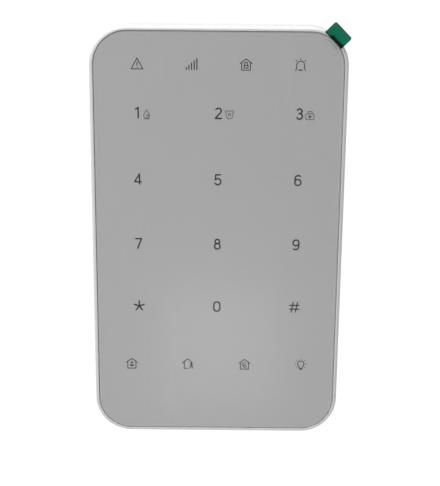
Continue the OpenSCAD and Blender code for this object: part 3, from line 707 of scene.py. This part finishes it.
PALE_INK = Ink("hint_ink", paint(72, 72, 74), paint(84, 84, 86), KEY_ROWS)
FLOOR_WHITE = StudioFloor(
    "studio_floor",
    paint(105, 105, 105),
    paint(96, 96, 96),
    paint(224, 224, 224),
    paint(255, 255, 255),
)


# ---------------------------------------------------------------- mesh work


def add_object(name: str, data: bpy.types.ID) -> bpy.types.Object:
    """Puts a new object with this mesh, light or camera into the scene.

    Args:
        name: Name of the object.
        data: Its mesh, light or camera.

    Returns:
        The object, at the origin.
    """
    made = bpy.data.objects.new(name, data)
    bpy.context.scene.collection.objects.link(made)
    return made


def body_of(node: str) -> str:
    """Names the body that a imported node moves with."""
    return frame["nodes"][node]["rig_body"]


def dress(node: str, finish: Finish) -> bpy.types.Object:
    """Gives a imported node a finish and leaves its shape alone.

    Args:
        node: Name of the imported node.
        finish: Its finish.

    Returns:
        The node's object.
    """
    shown = frame["nodes"][node]
    for slot in shown.material_slots:
        slot.material = finish.material()
    return shown


class Shape:
    """A mesh in the making, in metres and in the frame's axes."""

    SMOOTH_ANGLE = math.radians(36)
    HARD_ANGLE = math.radians(30)
    FLAT_ANGLE = math.radians(0.5)
    WELD = 0.001 * MM
    LATHE_STEPS = 48
    COIL_STEPS = 28
    WIRE_SIDES = 10

    def __init__(self) -> None:
        """Starts an empty mesh."""
        self.mesh = bmesh.new()

    def lathe(self, profile: Profile, place: Matrix, closed: bool = False) -> "Shape":
        """Turns a profile of radii and heights round the z axis.

        Args:
            profile: Radius and height of each point, from bottom to top on the outside.
            place: Where the turned piece goes.
            closed: Whether the profile is a loop, as on a tube, or ends on the axis.

        Returns:
            This shape.
        """
        points = [self.mesh.verts.new((radius, 0, height)) for radius, height in profile]
        pairs = list(pairwise(points)) + ([(points[-1], points[0])] if closed else [])
        edges = [self.mesh.edges.new(pair) for pair in pairs]
        before = set(self.mesh.verts) - set(points)
        bmesh.ops.spin(
            self.mesh,
            geom=points + edges,
            cent=(0, 0, 0),
            axis=(0, 0, 1),
            angle=math.tau,
            steps=self.LATHE_STEPS,
            use_merge=True,
            use_duplicate=False,
        )
        turned = [v for v in self.mesh.verts if v not in before]
        bmesh.ops.remove_doubles(self.mesh, verts=turned, dist=self.WELD)
        turned = [v for v in self.mesh.verts if v not in before]
        bmesh.ops.transform(self.mesh, matrix=place, verts=turned)
        return self

    def coil(
        self,
        radii: tuple[float, float],
        height: float,
        turns: float,
        wire: float,
        place: Matrix,
    ) -> "Shape":
        """Winds a round wire into an open coil that may taper.

        Args:
            radii: Radius of the coil at its foot and at its top.
            height: Height between the wire's centres at foot and top.
            turns: Number of turns.
            wire: Radius of the wire.
            place: Where the coil goes, from its foot along z.

        Returns:
            This shape.
        """
        before = set(self.mesh.verts)
        foot, top = radii
        steps = round(turns * self.COIL_STEPS)
        stand = Matrix.Translation((foot, 0, 0)) @ Matrix.Rotation(math.pi / 2, 4, "X")
        ring = bmesh.ops.create_circle(
            self.mesh,
            cap_ends=True,
            radius=wire,
            segments=self.WIRE_SIDES,
            matrix=stand,
        )
        section = ring["verts"][0].link_faces[0]
        bmesh.ops.spin(
            self.mesh,
            geom=[section],
            cent=(0, 0, 0),
            axis=(0, 0, 1),
            dvec=(0, 0, height / steps),
            angle=math.tau * turns,
            steps=steps,
            use_merge=False,
            use_duplicate=False,
        )
        wound = [v for v in self.mesh.verts if v not in before]
        for vertex in wound:
            outward = Vector((vertex.co.x, vertex.co.y, 0)).normalized()
            share = min(max(vertex.co.z / height, 0), 1)
            vertex.co += outward * (top - foot) * share
        bmesh.ops.transform(self.mesh, matrix=place, verts=wound)
        return self

    def close(self) -> "Shape":
        """Fills any open end and turns every face outwards.

        Returns:
            This shape.
        """
        open_edges = [edge for edge in self.mesh.edges if edge.is_boundary]
        if open_edges:
            bmesh.ops.holes_fill(self.mesh, edges=open_edges, sides=0)
        bmesh.ops.recalc_face_normals(self.mesh, faces=self.mesh.faces)
        return self

    def copy_of(self, node: str, weld: float) -> "Shape":
        """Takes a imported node's mesh, merges its loose triangles and clears its flat faces.

        Args:
            node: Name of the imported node.
            weld: Distance under which points become one.

        Returns:
            This shape.
        """
        self.mesh.from_mesh(frame["nodes"][node].data)
        bmesh.ops.remove_doubles(self.mesh, verts=self.mesh.verts, dist=weld)
        bmesh.ops.dissolve_limit(
            self.mesh,
            angle_limit=self.FLAT_ANGLE,
            verts=self.mesh.verts,
            edges=self.mesh.edges,
            use_dissolve_boundaries=False,
        )
        return self

    def ease(self, width: float) -> "Shape":
        """Rounds every hard edge.

        Args:
            width: Width of the rounding, in metres.

        Returns:
            This shape.
        """
        hard = [e for e in self.mesh.edges if e.is_manifold and e.calc_face_angle(0) > self.HARD_ANGLE]
        return self.round_edges(hard, width)

    def round_edges(self, edges: list[bmesh.types.BMEdge], width: float) -> "Shape":
        """Rounds some edges.

        Args:
            edges: The edges.
            width: Width of the rounding, in metres.

        Returns:
            This shape.
        """
        bmesh.ops.bevel(
            self.mesh,
            geom=edges,
            offset=width,
            offset_type="OFFSET",
            segments=2,
            profile=0.5,
            affect="EDGES",
            clamp_overlap=True,
            material=-1,
        )
        return self

    def piece(self, name: str, finish: Finish, slot: Slot, node: str) -> bpy.types.Object:
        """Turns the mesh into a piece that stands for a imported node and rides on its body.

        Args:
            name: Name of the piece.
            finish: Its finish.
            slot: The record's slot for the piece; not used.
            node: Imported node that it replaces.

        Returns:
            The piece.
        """
        data = bpy.data.meshes.new(name)
        self.mesh.to_mesh(data)
        self.mesh.free()
        data.materials.clear()
        data.materials.append(finish.material())
        for polygon in data.polygons:
            polygon.use_smooth = True
            polygon.material_index = 0
        data.set_sharp_from_angle(angle=self.SMOOTH_ANGLE)
        made = add_object(name, data)
        flat_faces = made.modifiers.new("flat_faces", "WEIGHTED_NORMAL")
        flat_faces.keep_sharp = True
        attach(made, body_of(node))
        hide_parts(node)
        return made


@dataclass(frozen=True)
class Eased:
    """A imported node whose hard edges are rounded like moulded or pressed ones."""

    node: str
    finish: Finish
    slot: Slot
    width: float
    weld: float = Shape.WELD

    def build(self) -> bpy.types.Object:
        """Makes the rounded copy that stands for the node."""
        shape = Shape().copy_of(self.node, self.weld).ease(self.width)
        return shape.piece(f"{self.node}_shape", self.finish, self.slot, self.node)


# ---------------------------------------------------------------- sub-assemblies


@dataclass
class WallMount:
    """The bracket on the wall and the captive screw that locks the case to it."""

    parts: tuple[Eased, ...] = (
        Eased("wall_bracket", BRACKET_WHITE, Slot.BRACKET, 0.2 * MM),
        Eased("lock_screw", STEEL, Slot.STEEL, 0.1 * MM),
        Eased("lock_washer", IVORY, Slot.IVORY, 0.08 * MM),
        Eased("lock_insert", BRASS, Slot.BRASS, 0.12 * MM),
    )

    def build(self) -> list[bpy.types.Object]:
        """Makes the bracket, the screw, its washer and the insert that it drives into."""
        return [part.build() for part in self.parts]


@dataclass
class CaseShell:
    """Rear cover, front frame, their screws and the label."""

    parts: tuple[Eased, ...] = (
        Eased("rear_cover", CASE_WHITE, Slot.CASE, 0.12 * MM, 0.1 * MM),
        Eased("front_frame", CASE_WHITE, Slot.CASE, 0.06 * MM),
        Eased("case_screws", STEEL, Slot.STEEL, 0.12 * MM),
    )

    def build(self) -> list[bpy.types.Object]:
        """Makes both halves of the case with their screws, and dresses the label."""
        return [part.build() for part in self.parts] + [dress("rear_label", LABEL)]


@dataclass
class TouchPanel:
    """The panel with its print and what lies behind it."""

    parts: tuple[Eased, ...] = (
        Eased("touch_board", TOUCH_MASK, Slot.BOARD, 0.05 * MM),
        Eased("backlight_leds", IVORY, Slot.LED, 0.08 * MM),
    )
    skins: tuple[tuple[str, Finish], ...] = (
        ("front_panel", PANEL_GREY),
        ("key_legend", DARK_INK),
        ("hint_legend", PALE_INK),
        ("panel_adhesive", TAPE_FOAM),
        ("diffuser_sheet", MILKY),
    )

    def build(self) -> list[bpy.types.Object]:
        """Dresses the flat layers and makes the touch board with its lights."""
        flat = [dress(node, finish) for node, finish in self.skins]
        return flat + [part.build() for part in self.parts]


@dataclass
class Electronics:
    """The main board, what it carries, the switches and the cable to the touch board."""

    parts: tuple[Eased, ...] = (
        Eased("main_board", MAIN_MASK, Slot.BOARD, 0.06 * MM),
        Eased("board_screws", STEEL, Slot.STEEL, 0.1 * MM),
        Eased("control_chips", EPOXY, Slot.CHIP, 0.12 * MM),
        Eased("crystal_can", TIN, Slot.TIN, 0.25 * MM),
        Eased("radio_can", TIN, Slot.TIN, 0.12 * MM),
        Eased("antenna_strip", GOLD, Slot.GOLD, 0.06 * MM),
        Eased("capacitors", TIN, Slot.CAPACITOR, 0.2 * MM),
        Eased("buzzer", BLACK, Slot.BLACK, 0.4 * MM),
        Eased("ribbon_connectors", IVORY, Slot.IVORY, 0.15 * MM),
        Eased("tamper_switch", BLACK, Slot.BLACK, 0.2 * MM),
        Eased("tamper_plunger", IVORY, Slot.IVORY, 0.08 * MM),
        Eased("pair_switch", BLACK, Slot.BLACK, 0.2 * MM),
        Eased("pair_button", ORANGE, Slot.BUTTON, 0.12 * MM),
    )
    spring_turns: float = 3.0
    spring_wire: float = 0.12 * MM

    def build(self) -> list[bpy.types.Object]:
        """Makes the boards' pieces, the tamper spring and the flat cable."""
        made = [part.build() for part in self.parts]
        return made + [self.tamper_spring(), dress("ribbon_cable", FLAT_CABLE)]

    def tamper_spring(self) -> bpy.types.Object:
        """Winds the small spring round the tamper plunger's tail.

        Returns:
            The spring.
        """
        low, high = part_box("tamper_spring")
        centre = (low + high) / 2
        radius = (high.x - low.x) / 2 - self.spring_wire
        height = high.y - low.y - 2 * self.spring_wire
        foot = Matrix.Translation((centre.x, high.y - self.spring_wire, centre.z))
        place = foot @ Matrix.Rotation(math.pi / 2, 4, "X")
        shape = Shape().coil((radius, radius), height, self.spring_turns, self.spring_wire, place)
        return shape.close().piece("tamper_spring_coil", SPRING_STEEL, Slot.STEEL, "tamper_spring")


@dataclass
class BatteryBay:
    """Four AA cells in series with their contact plates and springs."""

    count: int = 4
    cell_pitch: float = 15 * MM
    can_radius: float = 7.1 * MM
    can_length: float = 49.5 * MM
    cap_radius: float = 2.75 * MM
    cap_height: float = 1.0 * MM
    crimp: float = 0.45 * MM
    sleeve_wall: float = 0.15 * MM
    sleeve_inset: float = 0.4 * MM
    spring_wire: float = 0.3 * MM
    spring_radii: tuple[float, float] = (3.8 * MM, 2.2 * MM)
    spring_turns: float = 3.5
    plates: Eased = Eased("contact_plates", CONTACT, Slot.TIN, 0.08 * MM)

    def build(self) -> list[bpy.types.Object]:
        """Makes the plates, the springs, the cans and their printed sleeves."""
        return [self.plates.build(), self.springs(), self.cans(), self.sleeves()]

    def place(self, index: int, node: str) -> Matrix:
        """Gives where a cell's axis starts, at its negative end's side of the bay.

        Args:
            index: Number of the cell from the left.
            node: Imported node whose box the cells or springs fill.

        Returns:
            A placement whose z axis points along the cell, towards its cap.
        """
        low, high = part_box(node)
        middle = (low + high) / 2
        up = 1 if index % 2 == 0 else -1
        across = (index - (self.count - 1) / 2) * self.cell_pitch
        start = Matrix.Translation((across, middle.y, middle.z - up * (high.z - low.z) / 2))
        return start if up > 0 else start @ Matrix.Rotation(math.pi, 4, "X")

    def spring_room(self) -> float:
        """Gives the length that a spring fills, between its plate and the cell's flat end."""
        low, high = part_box("cell_cans")
        return high.z - low.z - self.can_length - self.cap_height

    def cans(self) -> bpy.types.Object:
        """Turns the steel cans, crimped at the shoulder, with raised caps.

        Returns:
            The four cans as one piece.
        """
        foot = self.spring_room()
        full, crimp, cap = self.can_radius, self.crimp, self.cap_radius
        end = foot + self.can_length
        profile = [
            (0, foot + 0.6 * crimp),
            (0.62 * full, foot + 0.6 * crimp),
            (0.68 * full, foot),
            (full - crimp, foot),
            (full, foot + crimp),
            (full, end - 1.4 * crimp),
            (full - 0.4 * crimp, end - 0.3 * crimp),
            (full - 1.6 * crimp, end),
            (full - 3.4 * crimp, end),
            (full - 4 * crimp, end - 0.7 * crimp),
            (cap + 0.8 * crimp, end - 0.7 * crimp),
            (cap, end - 0.4 * crimp),
            (cap, end + self.cap_height - 0.6 * crimp),
            (cap - 0.5 * crimp, end + self.cap_height),
            (0, end + self.cap_height),
        ]
        shape = Shape()
        for index in range(self.count):
            shape.lathe(profile, self.place(index, "cell_cans"))
        return shape.close().piece("cell_cans_turned", CELL_END, Slot.CELL, "cell_cans")

    def sleeves(self) -> bpy.types.Object:
        """Turns the shrunk sleeves, with a band of colour at each end.

        Returns:
            The four sleeves as one piece.
        """
        low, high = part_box("cell_sleeves")
        foot = self.spring_room() + self.sleeve_inset
        end = foot + self.can_length - 2 * self.sleeve_inset
        inner = self.can_radius
        outer = inner + self.sleeve_wall
        lip = self.sleeve_wall / 2
        profile = [
            (inner, foot),
            (outer - lip, foot),
            (outer, foot + lip),
            (outer, end - lip),
            (outer - lip, end),
            (inner, end),
        ]
        shape = Shape()
        for index in range(self.count):
            shape.lathe(profile, self.place(index, "cell_cans"), closed=True)
        middle = (low.z + high.z) / 2
        sleeve = Banded(
            "cell_sleeve_print",
            paint(58, 62, 70),
            paint(186, 120, 66),
            Axis.UP,
            middle,
            0.36 * self.can_length,
            metallic=0.4,
        )
        return shape.close().piece("cell_sleeves_shrunk", sleeve, Slot.SLEEVE, "cell_sleeves")

    def springs(self) -> bpy.types.Object:
        """Winds the tapered springs between the plates and the cells' flat ends.

        Returns:
            The four springs as one piece.
        """
        height = self.spring_room() - 2 * self.spring_wire
        shape = Shape()
        for index in range(self.count):
            start = self.place(index, "negative_springs") @ Matrix.Translation((0, 0, self.spring_wire))
            shape.coil(self.spring_radii, height, self.spring_turns, self.spring_wire, start)
        name = "negative_springs_wound"
        return shape.close().piece(name, SPRING_STEEL, Slot.STEEL, "negative_springs")


@dataclass
class TransitFilm:
    """Clear film on the panel, and the folded tape tab that pulls it off."""

    thickness: float = 0.09 * MM
    corner: float = 11.7 * MM
    columns: int = 90
    rows: int = 152
    swell: float = 0.035 * MM
    blisters: tuple[tuple[float, float, float], ...] = (
        (37.2 * MM, 67.0 * MM, 1.3 * MM),
        (-41.0 * MM, 7.0 * MM, 1.5 * MM),
        (33.5 * MM, -61.5 * MM, 1.6 * MM),
        (-22.0 * MM, -66.0 * MM, 1.2 * MM),
        (39.5 * MM, -14.0 * MM, 1.4 * MM),
        (-38.5 * MM, 58.0 * MM, 1.2 * MM),
    )
    blister_height: float = 0.07 * MM
    tab_length: float = 5.3 * MM
    tab_width: float = 8.35 * MM
    tab_corner: float = 0.6 * MM
    tab_strips: int = 44
    bend_facets: int = 10
    pinch: float = 0.06 * MM
    ply: float = 0.15 * MM
    ear_width: float = 6 * MM
    ear_start: float = 10.6 * MM
    ear_end: float = 14 * MM
    ear_edge: float = 0.02 * MM

    def build(self) -> list[bpy.types.Object]:
        """Makes the film with its ear, and the tab."""
        return [self.film(), self.tab()]

    def corner_centre(self) -> Vector:
        """Finds the centre of the film's upper right corner, in the panel's plane."""
        low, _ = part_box("protective_film")
        return Vector((-low.x - self.corner, 0, -low.z - self.corner))

    def tab_centre(self) -> Vector:
        """Finds the middle of the tab, from the lowest corner of its box."""
        reach = (self.tab_length + self.tab_width) * math.sqrt(0.125)
        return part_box("pull_tab")[0] + Vector((reach, 0, reach))

    def film(self) -> bpy.types.Object:
        """Shapes the sheet: rounded corners, faint waves, trapped air and the ear.

        Returns:
            The film.
        """
        low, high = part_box("protective_film")
        half = Vector((-low.x, 0, -low.z))
        shape = Shape()
        mesh = shape.mesh
        stand = Matrix.Rotation(math.pi / 2, 4, "X") @ Matrix.Diagonal((half.x, half.z, 1, 1))
        bmesh.ops.create_grid(mesh, x_segments=self.columns, y_segments=self.rows, size=1, matrix=stand)
        for vertex in mesh.verts:
            vertex.co = self.rounded(vertex.co, half)
            vertex.co.y = high.y - self.thickness - self.relief(vertex.co)
        bmesh.ops.recalc_face_normals(mesh, faces=mesh.faces)
        bmesh.ops.solidify(mesh, geom=mesh.faces[:], thickness=self.thickness)
        self.add_ear(shape, low.y)
        clear = paint(236, 240, 242)
        milky = (0.9, 0.92, 0.93, 1.0)
        skin = ClearFilm("transit_film", clear, milky, (half.x, half.z), self.corner)
        return shape.close().piece("film_sheet", skin, Slot.FILM, "protective_film")

    def rounded(self, point: Vector, half: Vector) -> Vector:
        """Pulls a point of a rectangular corner in, onto the round corner.

        Args:
            point: A point of the rectangular sheet.
            half: Half the width and half the height of the sheet.

        Returns:
            The point on the rounded sheet.
        """
        start = Vector((half.x - self.corner, 0, half.z - self.corner))
        past = Vector((abs(point.x) - start.x, 0, abs(point.z) - start.z))
        if past.x <= 0 or past.z <= 0:
            return point
        past *= max(past.x, past.z) / past.length
        return Vector((
            math.copysign(start.x + past.x, point.x),
            point.y,
            math.copysign(start.z + past.z, point.z),
        ))

    def relief(self, point: Vector) -> float:
        """Gives how far the film stands off the panel at a point of its sheet.

        Args:
            point: The point.

        Returns:
            The height in metres.
        """
        wave = math.sin(point.x / (9 * MM) + 1.3 * math.sin(point.z / (21 * MM)))
        height = self.swell * (0.5 + 0.5 * wave * math.cos(point.z / (17 * MM)))
        for x, z, radius in self.blisters:
            away = math.hypot(point.x - x, point.z - z) / radius
            height += self.blister_height * math.exp(-away * away)
        return height

    def add_ear(self, shape: Shape, front: float) -> None:
        """Adds the ear that runs from the film's corner out under the tab.

        Args:
            shape: The film's mesh.
            front: Depth of the ear's face, the film's foremost plane.
        """
        centre = self.corner_centre()
        turn = Matrix.Rotation(-math.pi / 4, 4, "Y")
        aside = (turn.inverted() @ (self.tab_centre() - centre)).z
        reach = self.ear_end - self.ear_start
        size = Matrix.Diagonal((reach, self.thickness, self.ear_width, 1))
        middle = Matrix.Translation((self.ear_start + reach / 2, front + self.thickness / 2, aside))
        place = Matrix.Translation((centre.x, 0, centre.z)) @ turn @ middle @ size
        ear = bmesh.ops.create_cube(shape.mesh, size=1, matrix=place)["verts"]
        edges = list({edge for vertex in ear for edge in vertex.link_edges})
        shape.round_edges(edges, self.ear_edge)

    def tab(self) -> bpy.types.Object:
        """Folds the green tape: two plies and the bend that joins them at the outer edge.

        Returns:
            The tab.
        """
        low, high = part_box("pull_tab")
        centre = self.tab_centre()
        shape = Shape()
        mesh = shape.mesh
        outline = self.tab_outline(high.y - low.y)
        corners = [mesh.verts.new((out, self.tab_width / 2, height)) for out, height in outline]
        section = mesh.faces.new(corners)
        for strip in range(self.tab_strips):
            moved = bmesh.ops.extrude_face_region(mesh, geom=[section])["geom"]
            if strip > 0:
                bmesh.ops.delete(mesh, geom=[section], context="FACES_ONLY")
            points = [part for part in moved if isinstance(part, bmesh.types.BMVert)]
            section = next(part for part in moved if isinstance(part, bmesh.types.BMFace))
            bmesh.ops.translate(mesh, verts=points, vec=(0, -self.tab_width / self.tab_strips, 0))
        for vertex in mesh.verts:
            self.round_corner(vertex.co)
        slant = math.sqrt(0.5)
        turn = Matrix(((slant, -slant, 0, 0), (0, 0, -1, 0), (slant, slant, 0, 0), (0, 0, 0, 1)))
        place = Matrix.Translation((centre.x, high.y, centre.z)) @ turn
        bmesh.ops.transform(mesh, matrix=place, verts=mesh.verts)
        skin = PullTape(
            "pull_tape",
            paint(0, 116, 86),
            paint(30, 122, 100),
            # Near black of the painted shade along the tape's root.
            paint(0, 24, 15),
            # Greyish dark of the outer bend: the tape's edge with painted shade.
            paint(60, 84, 78),
            (centre.x, centre.z),
            self.tab_length,
            self.tab_width,
        )
        return shape.close().piece("pull_tab_folded", skin, Slot.TAPE, "pull_tab")

    def tab_outline(self, depth: float) -> Profile:
        """Draws the hairpin section of the folded tape.

        Args:
            depth: Thickness over both plies.

        Returns:
            Points of length and height, once round the section.
        """
        root = -self.tab_length / 2
        bend = depth / 2
        hinge = self.tab_length / 2 - bend
        facets = self.bend_facets
        angles = [math.pi * (step / facets - 0.5) for step in range(facets + 1)]
        outer = [(hinge + bend * math.cos(a), bend + bend * math.sin(a)) for a in angles]
        inside = bend - self.ply
        inner = [(hinge + inside * math.cos(a), bend + inside * math.sin(a)) for a in reversed(angles)]
        upper = [
            (hinge * share + root * (1 - share), depth - self.pinch * (1 - share) ** 2)
            for share in (0.66, 0.33, 0)
        ]
        top = [(out, height - self.ply) for out, height in reversed(upper)]
        return [(root, 0), *outer, *upper, *top, *inner, (root, self.ply)]

    def round_corner(self, point: Vector) -> None:
        """Rounds the two outer corners of the tab as seen from the front.

        Args:
            point: A point in the tab's own axes, x along it and y across, which is moved.
        """
        past = max(0, abs(point.y) - (self.tab_width / 2 - self.tab_corner))
        pull = self.tab_corner - math.sqrt(max(0, self.tab_corner ** 2 - past ** 2))
        share = min(max(point.x / (self.tab_length / 2), 0), 1)
        point.x -= pull * share


# ---------------------------------------------------------------- studio


@dataclass(frozen=True)
class SoftBox:
    """A square studio light that faces the keypad."""

    name: str
    position: tuple[float, float, float]
    size: float
    power: float
    aim: tuple[float, float, float] = (0.0, 0.0, 0.0)

    def build(self) -> bpy.types.Object:
        """Hangs the light and turns it to its aim.

        Returns:
            The light.
        """
        data = bpy.data.lights.new(self.name, "AREA")
        data.size = self.size
        data.energy = self.power
        lamp = add_object(self.name, data)
        lamp.location = self.position
        lamp.visible_camera = False
        lamp.rotation_euler = (Vector(self.aim) - lamp.location).to_track_quat("-Z", "Y").to_euler()
        return lamp


@dataclass
class Studio:
    """Pale floor, soft lights and the camera."""

    floor_drop: float = 0.45
    floor_reach: float = 14.0
    floor_sides: int = 96
    wall_light: Colour = (0.6, 0.6, 0.6, 1.0)
    ceiling_light: Colour = (0.06, 0.06, 0.06, 1.0)
    wall_top: float = 0.24
    wall_fade: float = 0.2
    lights: tuple[SoftBox, ...] = (
        SoftBox("overhead_softbox", (-0.28, -0.06, 1.0), 0.6, 17.0),
        SoftBox("side_softbox", (-0.38, -0.28, 0.06), 0.3, 0.3),
        SoftBox("low_softbox", (0.0, -0.36, -0.165), 0.08, 0.07, (0.0, 0.0, -0.04)),
    )
    camera_at: tuple[float, float, float] = (0.00099, -0.41388, 0.10327)
    tilt: float = 74.97
    roll: float = 0.52
    lens: float = 80.5
    sensor: float = 36.0
    clip: tuple[float, float] = (0.01, 100.0)

    def build(self) -> list[bpy.types.Object]:
        """Sets the stage and gives its floor.

        Returns:
            The stage's pieces.
        """
        self.backdrop()
        self.camera()
        for light in self.lights:
            light.build()
        return [self.floor()]

    def floor(self) -> bpy.types.Object:
        """Lays the floor well below the keypad, which hangs as if on its wall.

        Returns:
            The floor.
        """
        mesh = bmesh.new()
        down = Matrix.Translation((0, 0, -self.floor_drop))
        bmesh.ops.create_circle(
            mesh,
            cap_ends=True,
            radius=self.floor_reach,
            segments=self.floor_sides,
            matrix=down,
        )
        data = bpy.data.meshes.new("studio_floor")
        mesh.to_mesh(data)
        mesh.free()
        data.materials.append(FLOOR_WHITE.material())
        floor = add_object("studio_floor", data)
        return floor

    def backdrop(self) -> None:
        """Surrounds the stage with pale walls under a dimmer ceiling."""
        world = bpy.data.worlds.new("pale_room")
        world.use_nodes = True
        graph = Graph(world.node_tree, "Generated")
        _, _, height = graph.axes()
        overhead = height.above(self.wall_top, self.wall_fade)
        graph.room(graph.mix(overhead, self.wall_light, self.ceiling_light))
        bpy.context.scene.world = world
        bpy.context.scene.view_settings.view_transform = "Standard"

    def camera(self) -> bpy.types.Object:
        """Places the camera in front, a little above the keypad.

        Returns:
            The camera.
        """
        data = bpy.data.cameras.new("camera")
        data.lens = self.lens
        data.sensor_width = self.sensor
        data.clip_start, data.clip_end = self.clip
        camera = add_object("camera", data)
        tilt = Matrix.Rotation(math.radians(self.tilt), 4, "X")
        roll = Matrix.Rotation(math.radians(self.roll), 4, "Z")
        camera.matrix_world = Matrix.Translation(self.camera_at) @ tilt @ roll
        bpy.context.scene.camera = camera
        return camera


def main() -> None:
    """Builds the studio and each sub-assembly in turn, and reports every piece."""
    logging.basicConfig(level=logging.INFO, format="%(name)s: %(message)s")
    for piece in Studio().build():
        log.info("stage: %s", piece.name)
    for assembly in (WallMount(), CaseShell(), TouchPanel(), Electronics(), BatteryBay(), TransitFilm()):
        for piece in assembly.build():
            log.info("%s: %s rides on %s", type(assembly).__name__, piece.name, piece["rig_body"])


if __name__ == "__main__":
    main()
